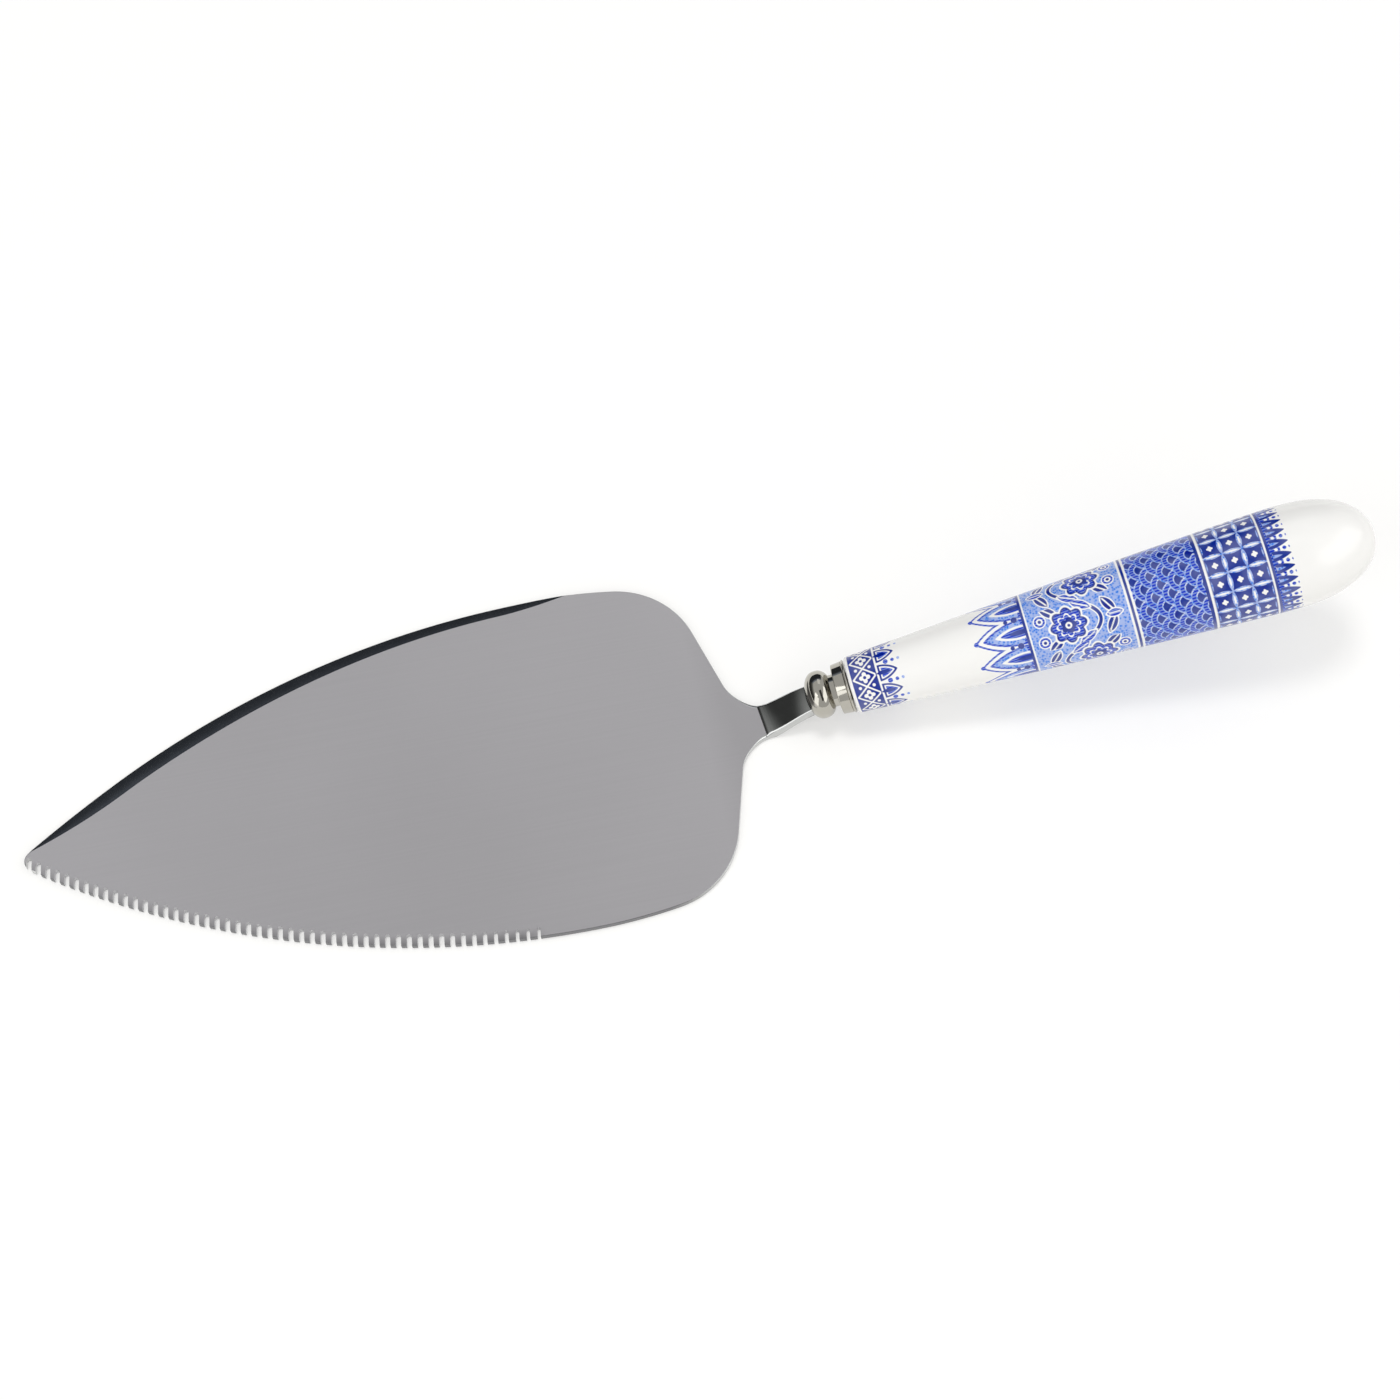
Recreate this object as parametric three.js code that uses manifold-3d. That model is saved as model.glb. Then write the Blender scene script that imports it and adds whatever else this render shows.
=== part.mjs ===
// A cake server: a spade-shaped steel blade with a serrated edge, cranked up to a porcelain handle.
// Sizes are in millimetres and angles in degrees. +Z is up, and the blade lies flat on z = 0.
// +X runs along the blade from its tip to the handle, and the serrated edge is on the -Y side.
import * as THREE from "three";
import { mergeVertices } from "three/addons/utils/BufferGeometryUtils.js";
import Module from "manifold-3d";

const wasm = await Module();
wasm.setup();

// Blade outline, seen from above
const bladeWidth = 67.8;
const widestFromTip = 100;
const tipRadius = 2;
const shoulderRadius = 100;
const cornerRadius = 16.3;
const heelFromTip = 134.4;
const heelAngle = 15.8;
const neckFillet = 8;
const neckWidth = 6.4;

// Blade and shank, seen from the side
const bladeThickness = 1.3;
const foldFromTip = 137.4;
const foldSkew = 5.3;
const crankAngle = 35;
const shankRun = 8.7;
const shankThickness = 2;
const shankEndWidth = 5;
const axisAboveShank = 0.15;

// Ground bevel along the plain edge
const bevelAngle = 17;
const bevelWidth = 3;
const bevelHeelWidth = 1.9;
const bevelGrowth = 75;
const bevelStart = 0.9;
const bevelEnd = 106.5;
const bevelTipRunOut = 20;
const bevelHeelRunOut = 14;

// Serrations along the other edge: parallel gullets, leaning towards the heel
const gulletCount = 50;
const gulletPitch = 1.943;
const gulletFromWidest = 11;
const gulletWidth = 0.95;
const gulletDepth = 2.2;
const gulletLean = 7;
const fadingGullets = 9;
const lastGulletWidth = 0.6;
const lastGulletDepth = 1.8;

// Tang, bead and ferrule on the handle's axis
const tangDiameter = 3.5;
const tangLength = 56;
const beadDiameter = 9;
const beadRoundLength = 5.5;
const beadLength = 5.3;
const beadNeckDiameter = 6;
const ferruleFrontDiameter = 9.4;
const ferruleBackDiameter = 9.8;
const ferruleLength = 2.5;
const ferruleWall = 0.5;

// Porcelain handle
const handleRise = 13.25;
const handleLength = 98.1;
const handleNeckDiameter = 10.6;
const bellyDiameter = 19;
const bellyFromButt = 15.8;
const porcelainWall = 2.6;
const boreDiameter = 5.5;
const boreStraight = 6;
const cementBeyondTang = 3;

// Handle curve: where its control points lie, as shares of the taper's length, the swell and the dome
const taperReach = 0.33;
const taperSwell = 0.4;
const bellyReach = 0.1;
const domeFullness = 0.62;

// Clearance between pieces that seat on each other
const fitGap = 0.2;

// Fineness of the round stretches
const outlineSteps = 28;
const gulletEndSteps = 5;
const bevelSteps = 36;
const turnedSteps = 44;
const profileSteps = 9;

const radians = THREE.MathUtils.degToRad;
const overshoot = 5;

// Colours and finishes
const satinSteel = { color: 0xa2a2a4, roughness: 0.38, metalness: 1 };
const brightSteel = { color: 0xd2d0ca, roughness: 0.08, metalness: 1 };
const glazedPorcelain = { color: 0xf4f3f0, roughness: 0.12, metalness: 0 };
const greyCement = { color: 0xb9b4a8, roughness: 0.9, metalness: 0 };

// A closed geometry as a solid that can be joined and cut
function solidFrom(geometry) {
  const bare = geometry.clone();
  bare.deleteAttribute("normal");
  bare.deleteAttribute("uv");
  const merged = mergeVertices(bare, 1e-4);
  return new wasm.Manifold(
    new wasm.Mesh({
      numProp: 3,
      vertProperties: new Float32Array(merged.attributes.position.array),
      triVerts: new Uint32Array(merged.index.array),
    }),
  );
}

// A solid as a geometry for a mesh
function geometryFrom(solid) {
  const { vertProperties, triVerts } = solid.getMesh();
  const geometry = new THREE.BufferGeometry();
  geometry.setAttribute("position", new THREE.BufferAttribute(vertProperties, 3));
  geometry.setIndex(new THREE.BufferAttribute(triVerts, 1));
  geometry.computeVertexNormals();
  return geometry;
}

function mesh(name, geometry, finish) {
  const made = new THREE.Mesh(geometry, new THREE.MeshStandardMaterial(finish));
  made.name = name;
  return made;
}

// A shape in plan, raised from z = bottom to z = top
function raised(shape, bottom, top, steps) {
  const options = { depth: top - bottom, bevelEnabled: false, curveSegments: steps };
  return new THREE.ExtrudeGeometry(shape, options).translate(0, 0, bottom);
}

// A side view in X and Z, carried across the blade's full width in line with the fold, which is a little askew
function carriedAcross(points) {
  const shape = new THREE.Shape(points.map(([x, z]) => new THREE.Vector2(x, z)));
  const depth = bladeWidth + 2 * overshoot;
  const options = { depth, bevelEnabled: false };
  const askew = new THREE.Matrix4().makeShear(0, 0, -Math.tan(radians(foldSkew)), 0, 0, 0);
  return new THREE.ExtrudeGeometry(shape, options)
    .rotateX(Math.PI / 2)
    .translate(0, depth / 2, 0)
    .applyMatrix4(askew);
}

// A turned piece: the profile's x is the radius, its y runs along the handle's axis, which becomes +X
function turned(points) {
  return new THREE.LatheGeometry(points, turnedSteps).rotateZ(-Math.PI / 2);
}

// A closed skin over rings of equal count, each ring one section of the body
function lofted(rings) {
  const count = rings[0].length;
  const geometry = new THREE.BufferGeometry().setFromPoints(rings.flat());
  const index = [];
  for (let ring = 0; ring + 1 < rings.length; ring += 1) {
    for (let corner = 0; corner < count; corner += 1) {
      const a = ring * count + corner;
      const b = ring * count + ((corner + 1) % count);
      index.push(a, b, b + count, a, b + count, a + count);
    }
  }
  const last = (rings.length - 1) * count;
  for (let corner = 1; corner + 1 < count; corner += 1) {
    index.push(0, corner + 1, corner, last, last + corner, last + corner + 1);
  }
  return geometry.setIndex(index);
}

// Front edge: one arc from the nose to the widest point, which the nose circle touches from inside
const halfWidth = bladeWidth / 2;
const noseToWidest = widestFromTip - tipRadius;
const edgeRadius = (noseToWidest ** 2 + halfWidth ** 2 - tipRadius ** 2) / (bladeWidth - 2 * tipRadius);
const edgeCentre = new THREE.Vector2(widestFromTip, halfWidth - edgeRadius);
const noseCentre = new THREE.Vector2(tipRadius, 0);
const noseAngle = noseCentre.clone().sub(edgeCentre).angle();

// Heel: a straight flank, the corner circle that touches it, and the shoulder circle round that
const heelTurn = radians(heelAngle);
const flankNormal = new THREE.Vector2(Math.cos(heelTurn), Math.sin(heelTurn));
const flankAlong = new THREE.Vector2(-flankNormal.y, flankNormal.x);
const flankReach = heelFromTip * flankNormal.x;
const shoulderCentre = new THREE.Vector2(widestFromTip, halfWidth - shoulderRadius);
const cornerBase = flankNormal.clone().multiplyScalar(flankReach - cornerRadius);
const toBase = cornerBase.clone().sub(shoulderCentre);
const alongBase = toBase.dot(flankAlong);
const cornerSpan = (shoulderRadius - cornerRadius) ** 2 - toBase.lengthSq();
const cornerAlong = Math.sqrt(alongBase ** 2 + cornerSpan) - alongBase;
const cornerCentre = cornerBase.clone().addScaledVector(flankAlong, cornerAlong);
const shoulderAngle = cornerCentre.clone().sub(shoulderCentre).angle();

// Neck: a fillet from the flank to the shank's edge
const filletHeight = neckWidth / 2 + neckFillet;
const filletFromTip = (flankReach + neckFillet - filletHeight * flankNormal.y) / flankNormal.x;
const filletCentre = new THREE.Vector2(filletFromTip, filletHeight);

// Handle frame: the axis starts at the bead's front, above the top of the shank
const beadFrontX = foldFromTip + shankRun;
const beadFrontZ = bladeThickness + shankRun * Math.tan(radians(crankAngle)) + axisAboveShank;
const handleFrame = new THREE.Matrix4()
  .makeRotationY(-radians(handleRise))
  .setPosition(beadFrontX, 0, beadFrontZ);

// Places along the handle's axis, from the bead's front
const ferruleFront = beadLength + fitGap;
const ferruleBack = ferruleFront + ferruleLength;
const handleFront = ferruleBack + fitGap;
const handleEnd = handleFront + handleLength;
const belly = handleEnd - bellyFromButt;
const spigotFront = ferruleFront + ferruleWall + fitGap;
const spigotRadius = ferruleFrontDiameter / 2 - ferruleWall - fitGap;
const tangRadius = tangDiameter / 2;
const boreEnd = handleFront + boreStraight;

// The blade's plan as arcs down the far side, mirrored back up the near side
function bladePlan() {
  const shankEnd = new THREE.Vector2(beadFrontX + beadRoundLength / 2, shankEndWidth / 2);
  const farArcs = [
    [noseCentre, tipRadius, Math.PI, noseAngle, true],
    [edgeCentre, edgeRadius, noseAngle, Math.PI / 2, true],
    [shoulderCentre, shoulderRadius, Math.PI / 2, shoulderAngle, true],
    [cornerCentre, cornerRadius, shoulderAngle, heelTurn, true],
    [filletCentre, neckFillet, Math.PI + heelTurn, Math.PI * 1.5, false],
  ];
  const plan = new THREE.Shape();
  for (const [centre, radius, from, to, clockwise] of farArcs) {
    plan.absarc(centre.x, centre.y, radius, from, to, clockwise);
  }
  plan.lineTo(shankEnd.x, shankEnd.y);
  plan.lineTo(shankEnd.x, -shankEnd.y);
  for (const [centre, radius, from, to, clockwise] of farArcs.reverse()) {
    plan.absarc(centre.x, -centre.y, radius, -to, -from, clockwise);
  }
  return plan;
}

// Height of the shank's top at a distance from the tip
function shankTop(x) {
  return bladeThickness + (x - foldFromTip) * Math.tan(radians(crankAngle));
}

// The blade and its cranked shank from the side, with one crisp fold on top
function bladeSide() {
  const shankDrop = shankThickness / Math.cos(radians(crankAngle));
  const underFold = foldFromTip + (shankDrop - bladeThickness) / Math.tan(radians(crankAngle));
  const end = beadFrontX + beadRoundLength;
  return carriedAcross([
    [-overshoot, 0],
    [underFold, 0],
    [end, shankTop(end) - shankDrop],
    [end, shankTop(end)],
    [foldFromTip, bladeThickness],
    [-overshoot, bladeThickness],
  ]);
}

// Everything below the line of the shank's top, which the root of the tang keeps to
function belowShankTop() {
  const end = beadFrontX + tangLength;
  return carriedAcross([
    [foldFromTip, -overshoot],
    [end, -overshoot],
    [end, shankTop(end)],
    [foldFromTip, bladeThickness],
  ]);
}

// A point off the front edge: arc length from the widest point towards the tip, and distance outwards
function edgePoint(arcLength, outwards, side) {
  const angle = Math.PI / 2 + arcLength / edgeRadius;
  const reach = edgeRadius + outwards;
  const x = edgeCentre.x + reach * Math.cos(angle);
  const y = edgeCentre.y + reach * Math.sin(angle);
  return new THREE.Vector2(x, side * y);
}

// Arc length from the widest point to the edge at a distance from the tip
function arcLengthAt(fromTip) {
  return edgeRadius * Math.asin((widestFromTip - fromTip) / edgeRadius);
}

// A wedge above the ground bevel, which widens from the heel to the tip and runs out to nothing at both ends
function bevelCutter() {
  const slope = Math.tan(radians(bevelAngle));
  const first = arcLengthAt(bevelStart);
  const last = arcLengthAt(bevelEnd);
  const rings = [];
  for (let step = 0; step <= bevelSteps; step += 1) {
    const arcLength = first + (last - first) * (step / bevelSteps);
    const fromStart = Math.min((first - arcLength) / bevelTipRunOut, 1);
    const fromEnd = Math.min((arcLength - last) / bevelHeelRunOut, 1);
    const runOut = (1 - (1 - fromStart) ** 2) * (1 - (1 - fromEnd) ** 2);
    const growth = THREE.MathUtils.smoothstep(arcLength, 0, bevelGrowth);
    const width = runOut * (bevelHeelWidth + (bevelWidth - bevelHeelWidth) * growth);
    const inner = edgePoint(arcLength, -width - overshoot, 1);
    const outer = edgePoint(arcLength, overshoot, 1);
    const above = bladeThickness + overshoot * slope;
    const below = bladeThickness - (width + overshoot) * slope;
    rings.push([
      new THREE.Vector3(inner.x, inner.y, above),
      new THREE.Vector3(outer.x, outer.y, below),
      new THREE.Vector3(outer.x, outer.y, above),
    ]);
  }
  return lofted(rings);
}

// One gullet: parallel sides from beyond the edge to a round inner end
function gulletCutter(number) {
  const fade = Math.max(0, 1 - number / fadingGullets);
  const width = gulletWidth + (lastGulletWidth - gulletWidth) * fade;
  const depth = gulletDepth + (lastGulletDepth - gulletDepth) * fade;
  const mouth = edgePoint(gulletFromWidest + number * gulletPitch, 0, -1);
  const outline = new THREE.Shape();
  outline.moveTo(-width / 2, -gulletDepth);
  outline.lineTo(width / 2, -gulletDepth);
  outline.absarc(0, depth - width / 2, width / 2, 0, Math.PI, false);
  const cutter = raised(outline, -overshoot, bladeThickness + overshoot, gulletEndSteps);
  return cutter.rotateZ(-radians(gulletLean)).translate(mouth.x, mouth.y, 0);
}

// The bead's round front and sides, from a radius on its back to a radius on its front
function beadArc(backRadius, frontRadius, growth) {
  const radius = beadDiameter / 2 + growth;
  const half = beadRoundLength / 2 + growth;
  const arc = new THREE.EllipseCurve(
    0,
    beadRoundLength / 2,
    radius,
    half,
    -Math.acos(frontRadius / radius),
    Math.acos(backRadius / radius),
  );
  return arc.getPoints(2 * profileSteps);
}

// Blade, shank and tang: one forging, ground along one edge and serrated along the other
function blade() {
  const tallest = beadFrontZ + beadDiameter;
  const plan = solidFrom(raised(bladePlan(), -overshoot, tallest, outlineSteps));
  const beadSpace = solidFrom(turned(beadArc(0, 0, fitGap)).applyMatrix4(handleFrame));
  const rootLength = tangLength + fitGap + shankThickness / 2;
  const rod = new THREE.CylinderGeometry(tangRadius, tangRadius, rootLength, turnedSteps / 2)
    .rotateZ(-Math.PI / 2)
    .translate(tangLength - rootLength / 2, 0, 0)
    .applyMatrix4(handleFrame);
  const tang = solidFrom(rod).intersect(solidFrom(belowShankTop()));
  let made = plan.intersect(solidFrom(bladeSide())).subtract(beadSpace).add(tang);
  made = made.subtract(solidFrom(bevelCutter()));
  for (let number = 0; number < gulletCount; number += 1) {
    made = made.subtract(solidFrom(gulletCutter(number)));
  }
  return mesh("blade", geometryFrom(made), satinSteel);
}

// The bead is threaded on the tang and backs on the ferrule with a short neck
function bolsterBead() {
  const bore = tangRadius + fitGap;
  const neck = beadNeckDiameter / 2;
  const profile = [
    ...beadArc(neck, bore, 0),
    new THREE.Vector2(neck, beadLength),
    new THREE.Vector2(bore, beadLength),
  ];
  profile.push(profile[0].clone());
  return mesh("bolster_bead", turned(profile), brightSteel);
}

// The ferrule is a cup with a hole for the tang, and takes the spigot of the handle
function ferruleCap() {
  const bore = tangRadius + fitGap;
  const socket = spigotRadius + fitGap;
  const floor = ferruleFront + ferruleWall;
  const profile = [
    new THREE.Vector2(bore, ferruleFront),
    new THREE.Vector2(ferruleFrontDiameter / 2, ferruleFront),
    new THREE.Vector2(ferruleBackDiameter / 2, ferruleBack),
    new THREE.Vector2(socket, ferruleBack),
    new THREE.Vector2(socket, floor),
    new THREE.Vector2(bore, floor),
    new THREE.Vector2(bore, ferruleFront),
  ];
  return mesh("ferrule_cap", turned(profile), brightSteel);
}

// A wall of the handle from its neck to its butt: a long taper that swells to the belly, then a full dome
function handleWall(front, frontRadius, bellyRadius, end) {
  const taper = belly - front;
  const dome = end - belly;
  const swell = bellyRadius - frontRadius;
  const side = new THREE.CubicBezierCurve(
    new THREE.Vector2(frontRadius, front),
    new THREE.Vector2(frontRadius + swell * taperSwell, front + taper * taperReach),
    new THREE.Vector2(bellyRadius, belly - taper * bellyReach),
    new THREE.Vector2(bellyRadius, belly),
  );
  const butt = new THREE.CubicBezierCurve(
    new THREE.Vector2(bellyRadius, belly),
    new THREE.Vector2(bellyRadius, belly + dome * domeFullness),
    new THREE.Vector2(bellyRadius * domeFullness, end),
    new THREE.Vector2(0, end),
  );
  return [...side.getPoints(profileSteps), ...butt.getPoints(profileSteps).slice(1)];
}

// Inside of the handle: a straight bore at the neck, then a hollow that follows the outside
function handleInside() {
  const bore = boreDiameter / 2;
  const hollow = handleWall(boreEnd, bore, bellyDiameter / 2 - porcelainWall, handleEnd - porcelainWall);
  return [new THREE.Vector2(bore, spigotFront), ...hollow];
}

// The handle is slip-cast: hollow, open at the neck, with a spigot that seats in the ferrule
function handle() {
  const outside = handleWall(handleFront, handleNeckDiameter / 2, bellyDiameter / 2, handleEnd);
  const profile = [
    ...handleInside().reverse(),
    new THREE.Vector2(spigotRadius, spigotFront),
    new THREE.Vector2(spigotRadius, handleFront),
    ...outside,
  ];
  return mesh("handle", turned(profile), glazedPorcelain);
}

// Cement fills the bore and the front of the hollow round the tang
function cementFill() {
  const hole = tangRadius + fitGap;
  const end = tangLength + cementBeyondTang;
  const wall = handleInside().map((point) => new THREE.Vector2(point.x - fitGap, point.y));
  const past = wall.findIndex((point) => point.y > end);
  const share = (end - wall[past - 1].y) / (wall[past].y - wall[past - 1].y);
  const rim = wall[past - 1].clone().lerp(wall[past], share);
  const profile = [
    new THREE.Vector2(0, tangLength + fitGap),
    new THREE.Vector2(hole, tangLength + fitGap),
    new THREE.Vector2(hole, spigotFront),
    ...wall.slice(0, past),
    rim,
    new THREE.Vector2(0, end),
  ];
  return mesh("cement_fill", turned(profile), greyCement);
}

const onHandleAxis = new THREE.Group();
onHandleAxis.applyMatrix4(handleFrame);
onHandleAxis.add(bolsterBead(), ferruleCap(), handle(), cementFill());

// The origin is on the resting plane, under the middle of the overall length
const assembly = new THREE.Group();
assembly.add(blade(), onHandleAxis);
const reach = new THREE.Box3().setFromObject(assembly, true);
assembly.position.x = -(reach.min.x + reach.max.x) / 2;

const cakeServer = new THREE.Group();
cakeServer.name = "cake_server";
cakeServer.add(assembly);

export default cakeServer;
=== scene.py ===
# A cake server: a satin steel blade with a serrated edge, bright fittings and a printed porcelain handle.
import math

import bmesh
import bpy
import numpy as np
from bpy.props import FloatProperty, FloatVectorProperty, IntProperty, PointerProperty
from mathutils import Matrix, Vector


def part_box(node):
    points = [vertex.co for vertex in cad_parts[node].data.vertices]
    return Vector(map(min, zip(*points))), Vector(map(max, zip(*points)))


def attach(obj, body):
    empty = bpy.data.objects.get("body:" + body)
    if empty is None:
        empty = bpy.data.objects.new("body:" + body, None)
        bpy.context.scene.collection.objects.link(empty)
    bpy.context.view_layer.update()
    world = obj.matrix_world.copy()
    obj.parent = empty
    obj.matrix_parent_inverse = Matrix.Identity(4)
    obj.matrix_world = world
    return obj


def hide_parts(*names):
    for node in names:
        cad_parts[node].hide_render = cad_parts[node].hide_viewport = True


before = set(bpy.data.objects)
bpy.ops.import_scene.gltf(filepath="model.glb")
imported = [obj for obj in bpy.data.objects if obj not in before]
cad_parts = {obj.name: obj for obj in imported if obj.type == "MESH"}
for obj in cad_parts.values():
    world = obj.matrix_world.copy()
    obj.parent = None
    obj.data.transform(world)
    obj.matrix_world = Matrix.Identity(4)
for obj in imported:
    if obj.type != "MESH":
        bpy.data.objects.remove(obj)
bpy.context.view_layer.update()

bl_info = {
    "name": "Cake Server",
    "version": (1, 0, 0),
    "blender": (4, 5, 0),
    "location": "3D View > Sidebar > Cake Server",
    "description": "Builds a cake server with a serrated steel blade and a printed porcelain handle",
    "category": "Add Mesh",
}

MM = 0.001
TURN = 2 * math.pi
TIP_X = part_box("blade")[0].x
BLADE_WIDTH = 2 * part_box("blade")[1].y


def linear(code):
    """An sRGB hex colour as the linear colour that Blender works in."""
    shares = [int(code[place:place + 2], 16) / 255 for place in (1, 3, 5)]
    bent = [share / 12.92 if share <= 0.04045 else ((share + 0.055) / 1.055) ** 2.4 for share in shares]
    return (*bent, 1.0)


def length(name, description, millimetres):
    """A property for a length, given in millimetres and kept in metres."""
    metres = millimetres * MM
    return FloatProperty(name=name, description=description, default=metres, unit="LENGTH", precision=5)


def angle(name, description, degrees):
    """A property for an angle, given in degrees and kept in radians."""
    return FloatProperty(name=name, description=description, default=math.radians(degrees), subtype="ANGLE")


def portion(name, description, share):
    """A property for a share of a whole."""
    return FloatProperty(name=name, description=description, default=share, subtype="FACTOR")


def tally(name, description, count):
    """A property for a number of like things."""
    return IntProperty(name=name, description=description, default=count, min=0)


def colour(name, description, code):
    """A property for a colour, given as an sRGB hex code."""
    tone = linear(code)
    return FloatVectorProperty(name=name, description=description, default=tone, size=4, subtype="COLOR")


class BladeSizes(bpy.types.PropertyGroup):
    """Sizes of the blade, its ground bevel, its serrations and its shank."""

    width: length("Width", "Blade across its widest point", BLADE_WIDTH / MM)
    widest_from_tip: length("Widest From Tip", "From the tip to the widest point", 100)
    tip_radius: length("Tip Radius", "Rounding of the tip", 2)
    shoulder_radius: length("Shoulder Radius", "Arc behind the widest point", 100)
    corner_radius: length("Corner Radius", "Rounded corners of the heel", 16.3)
    heel_from_tip: length("Heel From Tip", "From the tip to where the heel's flanks meet", 134.4)
    heel_angle: angle("Heel Angle", "Lean of the heel's flanks", 15.8)
    neck_fillet: length("Neck Fillet", "Fillet from the heel to the shank", 8)
    neck_width: length("Neck Width", "Shank's width at the fold", 6.4)
    buffed_neck: length("Buffed Neck", "Stretch before the fold whose edges are polished", 12)
    thickness: length("Thickness", "Blade's sheet", 1.3)
    edge_break: length("Edge Break", "Width of the broken edges", 0.12)
    fold_from_tip: length("Fold From Tip", "From the tip to the fold", 137.4)
    fold_skew: angle("Fold Skew", "How far the fold is out of square", 5.3)
    crank_angle: angle("Crank Angle", "Mean rise of the shank", 35)
    shank_run: length("Shank Run", "From the fold to the bead, in plan", 8.7)
    shank_overlap: length("Shank Overlap", "How far the shank goes into the bead, in plan", 2.75)
    shank_swing: portion("Shank Swing", "How much the crank's slope varies", 0.2)
    crease_run: length("Crease Run", "Length of the steep crease at the fold", 0.4)
    crease_rise: length("Crease Rise", "How much the crease adds to the shank's height", 0.08)
    shank_round: length("Shank Round", "Rounding of the shank's edges at the fold", 0.7)
    shank_thickness: length("Shank Thickness", "Shank's thickness", 2)
    shank_end_width: length("Shank End Width", "Shank's width in the bead", 5)
    bevel_angle: angle("Bevel Angle", "Slope of the ground bevel", 17)
    bevel_width: length("Bevel Width", "Ground bevel near the tip", 3)
    bevel_heel_width: length("Bevel Heel Width", "Ground bevel near the heel", 1.9)
    bevel_growth: length("Bevel Growth", "Length in which the bevel widens, from the widest point", 75)
    bevel_start: length("Bevel Start", "From the tip to the bevel's start", 0.9)
    bevel_end: length("Bevel End", "From the tip to the bevel's end", 106.5)
    bevel_tip_run_out: length("Bevel Tip Run-out", "Length in which the bevel starts", 20)
    bevel_heel_run_out: length("Bevel Heel Run-out", "Length in which the bevel ends", 14)
    gullet_count: tally("Gullets", "Number of gullets", 50)
    gullet_pitch: length("Gullet Pitch", "Spacing along the edge", 1.943)
    gullet_from_widest: length("First Gullet", "From the widest point to the gullet nearest the heel", 11)
    gullet_width: length("Gullet Width", "Width of a gullet", 0.95)
    gullet_depth: length("Gullet Depth", "Depth of a gullet", 2.2)
    gullet_lean: angle("Gullet Lean", "Lean of the gullets towards the heel", 7)
    fading_gullets: tally("Fading Gullets", "Gullets that shrink towards the heel", 9)
    first_width_share: portion("First Width", "Share of the width left at the heel", 0.63)
    first_depth_share: portion("First Depth", "Share of the depth left at the heel", 0.82)


class HandleSizes(bpy.types.PropertyGroup):
    """Sizes of the bead, the ferrule and the porcelain handle, along the handle's axis."""

    axis_above_shank: length("Axis Above Shank", "From the shank's top to the axis", 0.15)
    rise: angle("Rise", "Slope of the handle's axis", 13.25)
    bead_diameter: length("Bead Diameter", "Bead across", 9)
    bead_round_length: length("Bead Round Length", "Bead's full oval along the axis", 5.5)
    bead_lead: length("Bead Lead", "How far the bead reaches over the shank", 0.45)
    bead_neck_diameter: length("Bead Neck", "Neck behind the bead", 6)
    ferrule_front: length("Ferrule Front", "Where the ferrule starts", 5.5)
    ferrule_length: length("Ferrule Length", "Ferrule along the axis", 2.5)
    ferrule_front_diameter: length("Ferrule Front Diameter", "Ferrule at the bead", 9.4)
    ferrule_back_diameter: length("Ferrule Back Diameter", "Ferrule at the handle", 9.8)
    ferrule_lip: length("Ferrule Lip", "Rolled lip at the handle", 0.24)
    porcelain_front: length("Porcelain Front", "Where the handle starts", 8.2)
    porcelain_length: length("Porcelain Length", "Handle from neck to butt", 98.1)
    neck_diameter: length("Neck Diameter", "Handle at its neck", 10.6)
    neck_round: length("Neck Round", "Rounding of the rim at the neck", 0.5)
    belly_diameter: length("Belly Diameter", "Handle at its thickest", 19)
    belly_from_butt: length("Belly From Butt", "From the thickest place to the butt", 15.8)
    wall: length("Wall", "Porcelain wall", 2.6)
    bore_diameter: length("Bore Diameter", "Bore at the neck", 5.5)
    bore_length: length("Bore Length", "Straight bore at the neck", 6)


class Finishes(bpy.types.PropertyGroup):
    """Colours of the metal, the porcelain and its print."""

    satin: colour("Satin Steel", "Brushed face of the blade", "#cdcbce")
    # Blanked: darker than the steel itself, painted shade for the shadowed floor that the edges mirror
    blanked: colour("Blanked Steel", "Sheared edges of the sheet", "#8c8c8e")
    polished: colour("Polished Steel", "Bevel and shank", "#c8c9c8")
    ground: colour("Ground Steel", "Walls of the gullets", "#c6c6c8")
    bright: colour("Bright Plate", "Bead and ferrule", "#bab7ae")
    porcelain: colour("Porcelain", "White glaze", "#f2f1ee")
    pale: colour("Pale Blue", "Stippled tone of the print", "#83a0e2")
    mid: colour("Mid Blue", "Hatched tone of the print", "#345cc3")
    dark: colour("Dark Blue", "Solid tone of the print", "#0a2c8d")
    cement: colour("Cement", "Filling round the tang", "#b9b4a8")


def add_node(tree, kind, inputs=None, **settings):
    """Adds a node with its settings. An input gets a value, a socket, or the first output of a node."""
    made = tree.nodes.new(kind)
    for name, value in settings.items():
        setattr(made, name, value)
    for name, value in (inputs or {}).items():
        if isinstance(value, bpy.types.Node):
            value = value.outputs[0]
        if isinstance(value, bpy.types.NodeSocket):
            tree.links.new(value, made.inputs[name])
        else:
            made.inputs[name].default_value = value
    return made


def new_material(name):
    """An empty material and its node tree."""
    material = bpy.data.materials.new(name)
    material.use_nodes = True
    material.node_tree.nodes.clear()
    return material, material.node_tree


def dimmed(tone, share):
    """A colour at a share of its brightness."""
    return (*(share * part for part in tone[:3]), 1.0)


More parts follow.
